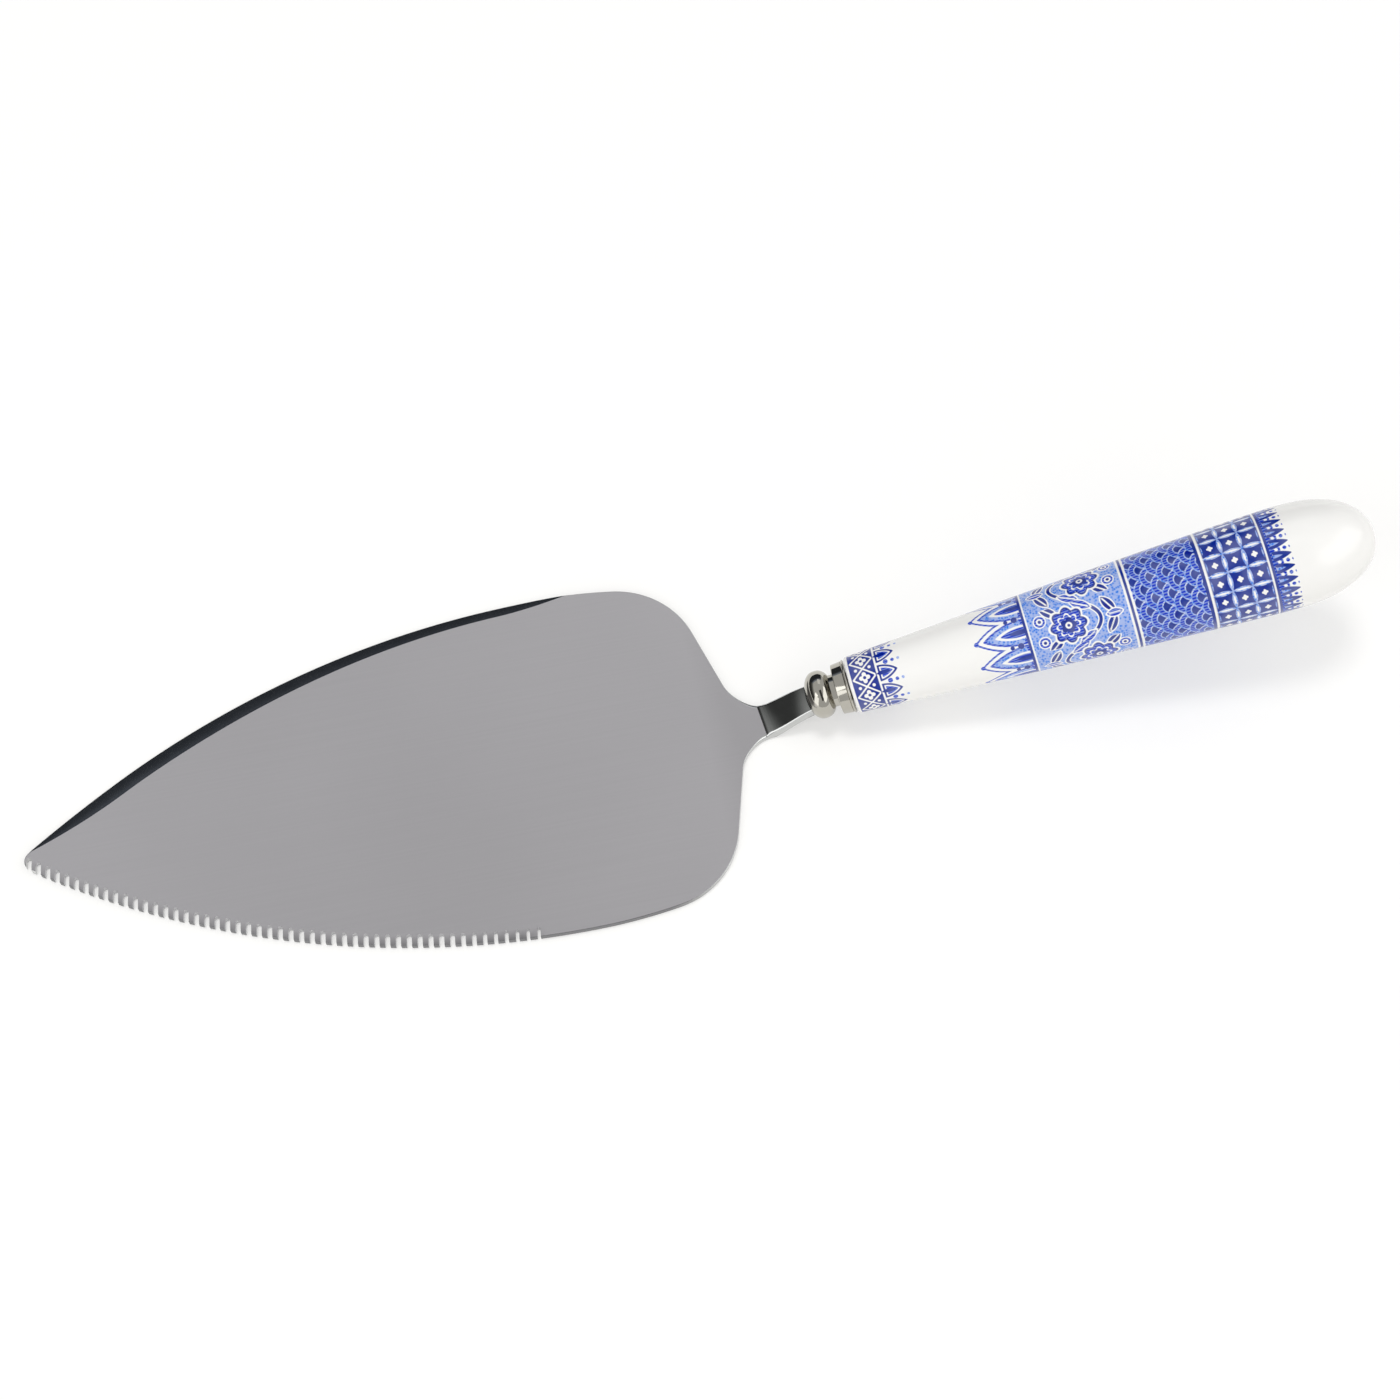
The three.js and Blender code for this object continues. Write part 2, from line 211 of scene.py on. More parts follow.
def satin_steel(finishes, blade):
    """Stainless steel sheet, brushed lengthwise: soft grey with long streaks. Painted light and shade at tip,
    neck and teeth.
    """
    material, tree = new_material("stainless_steel_brushed")
    place = add_node(tree, "ShaderNodeTexCoord").outputs["Object"]
    along, across, _ = add_node(tree, "ShaderNodeSeparateXYZ", {0: place}).outputs
    steel = tuple(finishes.satin)
    dark_share, teeth_shade_share = 0.8, 0.42

    # Streaks of the brush, drawn coarser than real ones so that they show, and soft clouds
    streak_length, streak_width, cloud_size = 45 * MM, 0.45 * MM, 60 * MM
    stretch = (1 / streak_length, 1 / streak_width, 1)
    stretched = add_node(tree, "ShaderNodeMapping", {"Vector": place, "Scale": stretch})
    streaks = add_node(tree, "ShaderNodeTexNoise", {"Vector": stretched, "Scale": 1.0, "Detail": 3.0})
    clouds = add_node(tree, "ShaderNodeTexNoise", {"Vector": place, "Scale": 1 / cloud_size, "Detail": 2.0})

    # Painted light towards the tip and painted shade at the neck, next to the fold
    tip_end, tip_painted_light, mid_painted_shade = TIP_X + 70 * MM, 0.5, -0.15
    fold = TIP_X + blade.fold_from_tip
    neck_start, neck_end, neck_painted_shade = fold - 11 * MM, fold - 2 * MM, -0.6
    cloud_share, streak_share = 0.7, 0.4
    tip = add_node(tree, "ShaderNodeMapRange", {0: along, 1: TIP_X, 2: tip_end, 3: tip_painted_light, 4: mid_painted_shade})
    neck = add_node(tree, "ShaderNodeMapRange", {0: along, 1: neck_start, 2: neck_end, 3: 0.0, 4: neck_painted_shade})
    ends = add_node(tree, "ShaderNodeMath", {0: tip, 1: neck}, operation="ADD")
    clouds_and_painted_light = add_node(tree, "ShaderNodeMath", {0: clouds, 1: cloud_share, 2: ends}, operation="MULTIPLY_ADD")
    streaky = {0: streaks, 1: streak_share, 2: clouds_and_painted_light}
    uneven = add_node(tree, "ShaderNodeMath", streaky, operation="MULTIPLY_ADD", use_clamp=True)
    # The brushed tone below holds this painted light and shade as well as the clouds and streaks
    darker = dimmed(steel, dark_share)
    brushed = add_node(tree, "ShaderNodeMix", {"Factor": uneven, 6: darker, 7: steel}, data_type="RGBA")

    # Painted shade on the teeth, from the depth behind the serrated edge, which is an arc, where it has teeth
    centre, radius = edge_circle(blade)
    arc_centre = (TIP_X + centre.x, -centre.y, 0)
    teeth_shade_depth = 0.85 * blade.gullet_depth
    heel = TIP_X + blade.widest_from_tip - blade.gullet_from_widest
    heel_start, heel_end, tip_shade_share = heel + 1.5 * MM, heel - 3 * MM, 0.4
    flat = add_node(tree, "ShaderNodeVectorMath", {0: place, 1: (1, 1, 0)}, operation="MULTIPLY")
    reach = add_node(tree, "ShaderNodeVectorMath", {0: flat, 1: arc_centre}, operation="DISTANCE")
    teeth_painted_shade = add_node(tree, "ShaderNodeMapRange", {0: reach.outputs["Value"], 1: radius - teeth_shade_depth, 2: radius})
    near = add_node(tree, "ShaderNodeMath", {0: across, 1: 0.0}, operation="LESS_THAN")
    toothed = add_node(tree, "ShaderNodeMapRange", {0: along, 1: heel_start, 2: heel_end})
    fading = add_node(tree, "ShaderNodeMapRange", {0: along, 1: heel, 2: TIP_X, 3: 1.0, 4: tip_shade_share})
    for limit in (near, toothed, fading):
        teeth_painted_shade = add_node(tree, "ShaderNodeMath", {0: teeth_painted_shade, 1: limit}, operation="MULTIPLY")
    # Painted shade: the teeth turn darker towards the edge, and less so towards the tip
    toned = {"Factor": teeth_painted_shade, 6: brushed.outputs[2], 7: dimmed(steel, teeth_shade_share)}
    tint = add_node(tree, "ShaderNodeMix", toned, data_type="RGBA").outputs[2]

    # A soft sheen that follows the streaks
    smooth, rougher, cloud_rough = 0.3, 0.38, 0.05
    sheen = add_node(tree, "ShaderNodeMapRange", {0: streaks, 3: smooth, 4: rougher})
    rough = add_node(tree, "ShaderNodeMath", {0: clouds, 1: cloud_rough, 2: sheen}, operation="MULTIPLY_ADD")
    bump = add_node(tree, "ShaderNodeBump", {"Height": streaks, "Strength": 0.08, "Distance": 0.02 * MM})
    metal = {"Base Color": tint, "Metallic": 1.0, "Roughness": rough, "Normal": bump}
    shader = add_node(tree, "ShaderNodeBsdfPrincipled", metal)
    add_node(tree, "ShaderNodeOutputMaterial", {"Surface": shader})
    return material


def blanked_steel(finishes, blade):
    """Sheared, tumbled sheet edges: dull, grainy, dark with painted shade; smoother with painted light
    towards the neck.
    """
    material, tree = new_material("stainless_steel_blanked")
    grain_size, neck_ramp_run = 0.35 * MM, 12 * MM
    dull, buffed_smooth = 0.45, 0.14
    light, bright = tuple(finishes.blanked), tuple(finishes.polished)
    darker = dimmed(light, 0.75)
    neck = TIP_X + blade.fold_from_tip - blade.buffed_neck
    place = add_node(tree, "ShaderNodeTexCoord").outputs["Object"]
    along = add_node(tree, "ShaderNodeSeparateXYZ", {0: place})
    grain = add_node(tree, "ShaderNodeTexNoise", {"Vector": place, "Scale": 1 / grain_size, "Detail": 2.0})
    grainy = add_node(tree, "ShaderNodeMix", {"Factor": grain, 6: darker, 7: light}, data_type="RGBA")
    # Painted light: brighter towards the neck, where the edges also get smoother
    buffing_and_painted_light = add_node(tree, "ShaderNodeMapRange", {0: along, 1: neck - neck_ramp_run, 2: neck})
    toned = {"Factor": buffing_and_painted_light, 6: grainy.outputs[2], 7: bright}
    tint = add_node(tree, "ShaderNodeMix", toned, data_type="RGBA").outputs[2]
    rough = add_node(tree, "ShaderNodeMapRange", {0: buffing_and_painted_light, 3: dull, 4: buffed_smooth})
    metal = {"Base Color": tint, "Metallic": 1.0, "Roughness": rough}
    shader = add_node(tree, "ShaderNodeBsdfPrincipled", metal)
    add_node(tree, "ShaderNodeOutputMaterial", {"Surface": shader})
    return material


def polished_metal(name, tone, smooth, smeared):
    """A buffed metal: clear reflections, with the faint lines and smears that a wheel leaves."""
    material, tree = new_material(name)
    smear_size = 2.5 * MM
    clean, darker = tuple(tone), dimmed(tone, 0.9)
    place = add_node(tree, "ShaderNodeTexCoord").outputs["Object"]
    smears = add_node(tree, "ShaderNodeTexNoise", {"Vector": place, "Scale": 1 / smear_size, "Detail": 3.0})
    rough = add_node(tree, "ShaderNodeMapRange", {0: smears, 3: smooth, 4: smeared})
    tint = add_node(tree, "ShaderNodeMix", {"Factor": smears, 6: darker, 7: clean}, data_type="RGBA")
    metal = {"Base Color": tint.outputs[2], "Metallic": 1.0, "Roughness": rough}
    shader = add_node(tree, "ShaderNodeBsdfPrincipled", metal)
    add_node(tree, "ShaderNodeOutputMaterial", {"Surface": shader})
    return material


def printed_porcelain(finishes, handle):
    """Glazed porcelain with a cobalt transfer print: solid, hatched and stippled blues under clear gloss."""
    material, tree = new_material("porcelain_glazed_printed")
    soft_edge = 0.07
    hatch_spacing, hatch_slant = 0.62 * MM, 40
    hatch_lines = round(math.pi * handle.belly_diameter / hatch_spacing)
    stipple_size, blot_size, ripple_size = 0.5 * MM, 4 * MM, 14 * MM
    white = Vector(finishes.porcelain[:3])
    place = add_node(tree, "ShaderNodeTexCoord").outputs["Object"]
    uv = add_node(tree, "ShaderNodeUVMap", uv_map="around_and_along")
    u, v, _ = add_node(tree, "ShaderNodeSeparateXYZ", {0: uv}).outputs
    around = add_node(tree, "ShaderNodeMath", {0: u, 1: hatch_lines * TURN}, operation="MULTIPLY")
    slanted = add_node(tree, "ShaderNodeMath", {0: v, 1: hatch_slant, 2: around}, operation="MULTIPLY_ADD")
    hatch = add_node(tree, "ShaderNodeMath", {0: slanted}, operation="SINE")
    stipple = add_node(tree, "ShaderNodeTexVoronoi", {"Vector": place, "Scale": 1 / stipple_size})
    blots = add_node(tree, "ShaderNodeTexNoise", {"Vector": place, "Scale": 1 / blot_size, "Detail": 2.0})

    # Each ink's pattern, the range of it that counts and how strong the ink is at both ends
    inks = {
        "pale": (stipple, 0.15, 0.6, 1.35, 0.8),
        "mid": (hatch, -1.0, 1.0, 0.82, 1.15),
        "dark": (blots, 0.3, 0.7, 0.9, 1.02),
    }
    blend = tuple(white)
    for tone, pattern in inks.items():
        strength = add_node(tree, "ShaderNodeMapRange", dict(enumerate(pattern)))
        ink = add_node(tree, "ShaderNodeAttribute", attribute_name="print_" + tone).outputs["Fac"]
        edge = {0: ink, 1: -soft_edge, 2: soft_edge, 3: 0.0, 4: 1.0}
        cover = add_node(tree, "ShaderNodeMapRange", edge, interpolation_type="SMOOTHSTEP")
        amount = add_node(tree, "ShaderNodeMath", {0: cover, 1: strength}, operation="MULTIPLY")
        stain = tuple(Vector(getattr(finishes, tone)[:3]) - white)
        inked = {0: stain, 1: amount, 2: blend}
        blend = add_node(tree, "ShaderNodeVectorMath", inked, operation="MULTIPLY_ADD")
    ripple = add_node(tree, "ShaderNodeTexNoise", {"Vector": place, "Scale": 1 / ripple_size, "Detail": 1.0})
    bump = add_node(tree, "ShaderNodeBump", {"Height": ripple, "Strength": 0.12, "Distance": 0.4 * MM})
    glaze = {"Base Color": blend, "Roughness": 0.16, "IOR": 1.5, "Normal": bump}
    shader = add_node(tree, "ShaderNodeBsdfPrincipled", glaze)
    add_node(tree, "ShaderNodeOutputMaterial", {"Surface": shader})
    return material


def set_cement(finishes):
    """Grey setting cement: matt, sandy and uneven."""
    material, tree = new_material("cement_cast")
    grit_size = 0.6 * MM
    light, darker = tuple(finishes.cement), dimmed(finishes.cement, 0.7)
    place = add_node(tree, "ShaderNodeTexCoord").outputs["Object"]
    grit = add_node(tree, "ShaderNodeTexNoise", {"Vector": place, "Scale": 1 / grit_size, "Detail": 4.0})
    tint = add_node(tree, "ShaderNodeMix", {"Factor": grit, 6: darker, 7: light}, data_type="RGBA")
    bump = add_node(tree, "ShaderNodeBump", {"Height": grit, "Strength": 0.5, "Distance": 0.2 * MM})
    sandy = {"Base Color": tint.outputs[2], "Roughness": 0.9, "Normal": bump}
    shader = add_node(tree, "ShaderNodeBsdfPrincipled", sandy)
    add_node(tree, "ShaderNodeOutputMaterial", {"Surface": shader})
    return material


def white_paper():
    """Seamless white paper, exposed bright: to the eye and in reflections its shadows are washed out."""
    material, tree = new_material("paper_seamless_white")
    wash = 0.4
    ray = add_node(tree, "ShaderNodeLightPath").outputs
    seen = ray["Is Camera Ray"]
    for kind in ("Is Glossy Ray", "Is Transmission Ray"):
        seen = add_node(tree, "ShaderNodeMath", {0: seen, 1: ray[kind]}, operation="ADD", use_clamp=True)
    share = add_node(tree, "ShaderNodeMath", {0: seen, 1: wash}, operation="MULTIPLY")
    paper = add_node(tree, "ShaderNodeBsdfDiffuse", {"Color": linear("#fefdfa")})
    white = add_node(tree, "ShaderNodeEmission", {"Strength": 1.0})
    shader = add_node(tree, "ShaderNodeMixShader", {0: share, 1: paper, 2: white})
    add_node(tree, "ShaderNodeOutputMaterial", {"Surface": shader})
    return material


def show(name, mesh):
    """Puts a mesh in the scene as a piece at the origin."""
    piece = bpy.data.objects.new(name, mesh)
    bpy.context.scene.collection.objects.link(piece)
    return piece


def settle(piece, node):
    """A finished piece rides on the one body and stands for its solid."""
    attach(piece, "root")
    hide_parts(node)


def arc(centre, radius, start, end, step):
    """Points on an arc, ends included, about a step apart and never more than 6 degrees."""
    sweep = end - start
    count = max(2, math.ceil(abs(sweep) / min(step / radius, math.radians(6))))
    turns = [start + sweep * number / count for number in range(count + 1)]
    return [(centre[0] + radius * math.cos(turn), centre[1] + radius * math.sin(turn)) for turn in turns]


def edge_circle(blade):
    """Centre and radius of the arc from the tip's rounding to the widest point."""
    half = blade.width / 2
    run = blade.widest_from_tip - blade.tip_radius
    radius = (run ** 2 + half ** 2 - blade.tip_radius ** 2) / (blade.width - 2 * blade.tip_radius)
    return Vector((blade.widest_from_tip, half - radius)), radius


def far_outline(blade):
    """The far half of the blade's outline in plan, from the tip to the shank's end, as touching arcs."""
    step = 0.9 * MM
    half = blade.width / 2
    centre, radius = edge_circle(blade)
    nose = Vector((blade.tip_radius, 0))
    nose_turn = math.atan2(nose.y - centre.y, nose.x - centre.x)
    lean = blade.heel_angle
    normal = Vector((math.cos(lean), math.sin(lean)))
    along = Vector((-normal.y, normal.x))
    reach = blade.heel_from_tip * normal.x
    shoulder = Vector((blade.widest_from_tip, half - blade.shoulder_radius))
    base = normal * (reach - blade.corner_radius)
    offset = (base - shoulder).dot(along)
    span = (blade.shoulder_radius - blade.corner_radius) ** 2 - (base - shoulder).length_squared
    corner = base + along * (math.sqrt(offset ** 2 + span) - offset)
    shoulder_turn = math.atan2(corner.y - shoulder.y, corner.x - shoulder.x)
    fillet_y = blade.neck_width / 2 + blade.neck_fillet
    fillet_x = (reach + blade.neck_fillet - fillet_y * normal.y) / normal.x
    shank_end = blade.fold_from_tip + blade.shank_run + blade.shank_overlap
    points = arc(nose, blade.tip_radius, math.pi, nose_turn, step)
    points += arc(centre, radius, nose_turn, math.pi / 2, step)[1:]
    points += arc(shoulder, blade.shoulder_radius, math.pi / 2, shoulder_turn, step)[1:]
    points += arc(corner, blade.corner_radius, shoulder_turn, lean, step)[1:]
    points += arc((fillet_x, fillet_y), blade.neck_fillet, math.pi + lean, math.pi * 1.5, step / 3)
    points.append((shank_end, blade.shank_end_width / 2))
    return points


def eased(share):
    """A share that starts and ends gently."""
    return share * share * (3 - 2 * share)


def bevel_width_at(blade, x, y):
    """Width of the ground bevel at a point of the outline: none on the serrated side."""
    if y <= 0:
        return 0.0
    radius = edge_circle(blade)[1]
    places = [blade.bevel_start, x, blade.bevel_end]
    first, here, last = [radius * math.asin((blade.widest_from_tip - place) / radius) for place in places]
    if not last < here < first:
        return 0.0
    from_tip = min((first - here) / blade.bevel_tip_run_out, 1)
    from_heel = min((here - last) / blade.bevel_heel_run_out, 1)
    run_out = (1 - (1 - from_tip) ** 2) * (1 - (1 - from_heel) ** 2)
    growth = eased(min(max(here / blade.bevel_growth, 0), 1))
    return run_out * (blade.bevel_heel_width + (blade.bevel_width - blade.bevel_heel_width) * growth)


def past_fold(blade, x, y):
    """Distance along the blade past the fold, which is a little out of square."""
    return x + y * math.tan(blade.fold_skew) - blade.fold_from_tip


def shank_rise(blade, past):
    """Height of the shank's top over the blade's: a crisp crease, then a gentle S, steepest in its middle."""
    share = max(0.0, past) / blade.shank_run
    swing = blade.shank_swing * math.sin(TURN * min(share, 1)) / TURN
    crease = blade.crease_rise * min(max(0.0, past) / blade.crease_run, 1) * max(0.0, 1 - share)
    return crease + (share - swing) * blade.shank_run * math.tan(blade.crank_angle)


def edge_round(blade, past):
    """Radius of the rounded edges: a mere break on the blade, most at the fold and less towards the bead."""
    onset, loss = 2.4, 0.5
    share = past / blade.shank_run
    if share < 0:
        growth = eased(max(0.0, 1 + onset * share))
        return blade.edge_break + (blade.shank_round - blade.edge_break) * growth
    return blade.shank_round * (1 - loss * min(share, 1))


def blade_rings(blade, loop):
    """Rings of points from the underside's rim up over the edge, rounded or ground to a bevel."""
    steps = 5
    bevel_bow = 0.035
    rings = [[] for _ in range(steps + 3)]
    for number, (x, y) in enumerate(loop):
        place = Vector((x, y))
        along = (Vector(loop[(number + 1) % len(loop)]) - Vector(loop[number - 1])).normalized()
        inward = Vector((-along.y, along.x))
        ground = bevel_width_at(blade, x, y)
        size = edge_round(blade, past_fold(blade, x, y))
        rings[0].append((*(place + inward * blade.edge_break), 0))
        rings[1].append((*place, blade.edge_break))
        for step in range(steps + 1):
            share = step / steps
            turn = math.pi / 2 * step / steps
            inset, drop = size * (1 - math.cos(turn)), size * (1 - math.sin(turn))
            if ground > size:
                slope = math.tan(blade.bevel_angle) - bevel_bow * share
                inset, drop = ground * share, ground * (1 - share) * slope
            rings[step + 2].append((*(place + inward * inset), blade.thickness - drop))
    return rings


def blade_blank(blade):
    """The blade before it is serrated: a plate with finished edges, folded up into the shank."""
    far = far_outline(blade)
    shank_end = far[-1][0]
    loop = [(x, -y) for x, y in far] + [(x, y) for x, y in reversed(far[1:])]
    plate = bmesh.new()
    rings = [[plate.verts.new(point) for point in ring] for ring in blade_rings(blade, loop)]
    for lower, upper in zip(rings, rings[1:]):
        for number in range(len(loop)):
            after = (number + 1) % len(loop)
            plate.faces.new((lower[number], lower[after], upper[after], upper[number]))
    plate.faces.new(reversed(rings[0]))
    plate.faces.new(rings[-1])

    # Lines across the shank, along which it bends
    bend_step, touching = 0.5 * MM, 1e-7
    uphill = (1, math.tan(blade.fold_skew), 0)
    crease_end = blade.fold_from_tip + blade.crease_run
    for cut in [blade.fold_from_tip, *np.arange(crease_end, shank_end, bend_step).tolist()]:
        geometry = plate.verts[:] + plate.edges[:] + plate.faces[:]
        bmesh.ops.bisect_plane(plate, geom=geometry, plane_co=(cut, 0, 0), plane_no=uphill, dist=touching)
    shank_drop = blade.shank_thickness / math.cos(blade.crank_angle)
    for vert in plate.verts:
        past = past_fold(blade, vert.co.x, vert.co.y)
        top = blade.thickness + shank_rise(blade, past)
        bottom = max(0.0, top - shank_drop) if past > 0 else 0.0
        vert.co.z = bottom + vert.co.z / blade.thickness * (top - bottom)
        vert.co.x += TIP_X
    mesh = bpy.data.meshes.new("blade_blank")
    plate.to_mesh(mesh)
    plate.free()
    return mesh


def serration_tree():
    """Geometry nodes that cut a row of round-ended gullets along the near edge of a blade."""
    tree = bpy.data.node_groups.new("blade_serrations", "GeometryNodeTree")
    lengths = ["Pitch", "From Widest", "Edge Radius", "Width", "Depth", "Height"]
    shares = ["First Width", "First Depth"]
    sockets = {
        "Geometry": ["Blade"],
        "Int": ["Count", "Fading"],
        "Float": [*lengths, *shares, "Lean"],
        "Vector": ["Edge Centre"],
        "Material": ["Steel"],
    }
    for kind, names in sockets.items():
        for name in names:
            tree.interface.new_socket(name, in_out="INPUT", socket_type="NodeSocket" + kind)
    tree.interface.new_socket("Blade", in_out="OUTPUT", socket_type="NodeSocketGeometry")
    given = add_node(tree, "NodeGroupInput").outputs
    index = add_node(tree, "GeometryNodeInputIndex")
    radius, centre = given["Edge Radius"], given["Edge Centre"]

    # Places along the edge, which is an arc
    spaced = {0: index, 1: given["Pitch"], 2: given["From Widest"]}
    along = add_node(tree, "ShaderNodeMath", spaced, operation="MULTIPLY_ADD")
    turn = add_node(tree, "ShaderNodeMath", {0: along, 1: radius}, operation="DIVIDE")
    sine = add_node(tree, "ShaderNodeMath", {0: turn}, operation="SINE")
    cosine = add_node(tree, "ShaderNodeMath", {0: turn}, operation="COSINE")
    direction = add_node(tree, "ShaderNodeCombineXYZ", {0: sine, 1: cosine})
    outwards = add_node(tree, "ShaderNodeVectorMath", {0: direction, "Scale": radius}, operation="SCALE")
    place = add_node(tree, "ShaderNodeVectorMath", {0: centre, 1: outwards}, operation="SUBTRACT")
    points = add_node(tree, "GeometryNodePoints", {"Count": given["Count"], "Position": place})

    # The gullets shrink towards the heel, where the first one is
    rank = {0: index, 1: given["Fading"]}
    share = add_node(tree, "ShaderNodeMath", rank, operation="DIVIDE", use_clamp=True)
    width = add_node(tree, "ShaderNodeMapRange", {0: share, 3: given["First Width"], 4: 1.0})
    depth = add_node(tree, "ShaderNodeMapRange", {0: share, 3: given["First Depth"], 4: 1.0})
    scale = add_node(tree, "ShaderNodeCombineXYZ", {0: width, 1: depth, 2: 1.0})

    # One cutter: a slot with a round inner end, raised to a closed solid
    round_steps, nearly_half, touching = 8, 0.499, 1e-6
    slot_length = add_node(tree, "ShaderNodeMath", {0: given["Depth"], 1: 2.0}, operation="MULTIPLY")
    slot_size = {"Width": given["Width"], "Height": slot_length}
    slot = add_node(tree, "GeometryNodeCurvePrimitiveQuadrilateral", slot_size)
    position = add_node(tree, "GeometryNodeInputPosition")
    inwards = add_node(tree, "ShaderNodeSeparateXYZ", {0: position}).outputs[1]
    is_inner = add_node(tree, "ShaderNodeMath", {0: inwards, 1: 0.0}, operation="GREATER_THAN")
    half = add_node(tree, "ShaderNodeMath", {0: given["Width"], 1: nearly_half}, operation="MULTIPLY")
    corner = add_node(tree, "ShaderNodeMath", {0: half, 1: is_inner}, operation="MULTIPLY")
    corners = {"Curve": slot, "Count": round_steps, "Radius": corner}
    rounded = add_node(tree, "GeometryNodeFilletCurve", corners, mode="POLY")
    floor = add_node(tree, "GeometryNodeFillCurve", {"Curve": rounded}, mode="NGONS")
    up = add_node(tree, "ShaderNodeCombineXYZ", {2: given["Height"]})
    walls = add_node(tree, "GeometryNodeExtrudeMesh", {"Mesh": floor, "Offset": up, "Individual": False})
    turned_floor = add_node(tree, "GeometryNodeFlipFaces", {0: floor})
    open_cutter = add_node(tree, "GeometryNodeJoinGeometry", {0: walls})
    tree.links.new(turned_floor.outputs[0], open_cutter.inputs[0])
    cutter = add_node(tree, "GeometryNodeMergeByDistance", {0: open_cutter, "Distance": touching})
    half_down = add_node(tree, "ShaderNodeVectorMath", {0: up, "Scale": -0.5}, operation="SCALE")
    centred = add_node(tree, "GeometryNodeTransform", {"Geometry": cutter, "Translation": half_down})

    # The row of cutters, taken out of the blade
    leaning = add_node(tree, "FunctionNodeAxisAngleToRotation", {"Axis": (0, 0, -1), "Angle": given["Lean"]})
    row = {"Points": points, "Instance": centred, "Rotation": leaning, "Scale": scale}
    gullets = add_node(tree, "GeometryNodeInstanceOnPoints", row)
    cutters = add_node(tree, "GeometryNodeRealizeInstances", {0: gullets})
    meshes = {"Mesh 1": given["Blade"], "Mesh 2": cutters}
    cut = add_node(tree, "GeometryNodeMeshBoolean", meshes, operation="DIFFERENCE", solver="EXACT")
    whole = add_node(tree, "GeometryNodeRealizeInstances", {0: cut})
    steel = add_node(tree, "GeometryNodeSetMaterial", {"Geometry": whole, "Material": given["Steel"]})
    add_node(tree, "NodeGroupOutput", {0: steel})
    return tree


def baked(piece, tree, values):
    """Runs geometry nodes on a piece, with their inputs set by name, and keeps the result as a plain mesh."""
    modifier = piece.modifiers.new(tree.name, "NODES")
    modifier.node_group = tree
    for socket in tree.interface.items_tree:
        if socket.in_out == "INPUT" and socket.name in values:
            modifier[socket.identifier] = values[socket.name]
    graph = bpy.context.evaluated_depsgraph_get()
    mesh = bpy.data.meshes.new_from_object(piece.evaluated_get(graph))
    piece.modifiers.remove(modifier)
    blank = piece.data
    piece.data = mesh
    bpy.data.meshes.remove(blank)
    return mesh


def shade(mesh, degrees):
    """Smooth shading, but a crisp line along folds sharper than an angle and where two finishes meet."""
    work = bmesh.new()
    work.from_mesh(mesh)
    for face in work.faces:
        face.smooth = True
    for edge in work.edges:
        finishes = {face.material_index for face in edge.link_faces}
        edge.smooth = len(finishes) == 1 and edge.calc_face_angle(0.0) < math.radians(degrees)
    work.to_mesh(mesh)
    work.free()


def handle_frame(blade, handle):
    """Where the handle's axis starts, at the front of the bead, and how it rises."""
    x = TIP_X + blade.fold_from_tip + blade.shank_run
    z = blade.thickness + blade.shank_run * math.tan(blade.crank_angle) + handle.axis_above_shank
    return Matrix.Translation((x, 0, z)) @ Matrix.Rotation(-handle.rise, 4, "Y")


def turned(name, profile, columns, place):
    """A closed turned body. The profile holds (along, radius) pairs and starts and ends on the axis."""
    along, radius = np.array(profile[1:-1]).T
    rows = len(along)
    turn = np.arange(columns) / columns * TURN
    grid = np.empty((rows, columns, 3))
    grid[..., 0] = along[:, None]
    grid[..., 1] = -radius[:, None] * np.sin(turn)
    grid[..., 2] = radius[:, None] * np.cos(turn)
    poles = [(profile[0][0], 0, 0), (profile[-1][0], 0, 0)]
    points = np.vstack([grid.reshape(-1, 3), poles])
    matrix = np.array(place)
    points = points @ matrix[:3, :3].T + matrix[:3, 3]
    here = np.arange(columns)
    after = (here + 1) % columns
    first = (np.arange(rows - 1) * columns)[:, None]
    quads = np.stack([first + here, first + after, first + after + columns, first + here + columns], axis=-1)
    start, end = rows * columns, rows * columns + 1
    last = (rows - 1) * columns
    faces = quads.reshape(-1, 4).tolist()
    faces += [(start, b, a) for a, b in zip(here.tolist(), after.tolist())]
    faces += [(end, last + a, last + b) for a, b in zip(here.tolist(), after.tolist())]
    mesh = bpy.data.meshes.new(name)
    mesh.from_pydata(points.tolist(), [], faces)
    return mesh


def bead_profile(handle):
    """The bead: a full oval over the end of the shank, and a neck that reaches the ferrule."""
    steps = 40
    fullness = 0.87
    half = handle.bead_round_length / 2
    tall = handle.bead_diameter / 2
    neck = handle.bead_neck_diameter / 2
    stop = math.pi - math.asin((neck / tall) ** (1 / fullness))
    points = []
    for turn in np.linspace(0, stop, steps + 1).tolist():
        across = math.copysign(abs(math.cos(turn)) ** fullness, math.cos(turn))
        points.append((half * (1 - across) - handle.bead_lead, tall * math.sin(turn) ** fullness))
    return points + [(handle.ferrule_front, neck), (handle.ferrule_front, 0)]


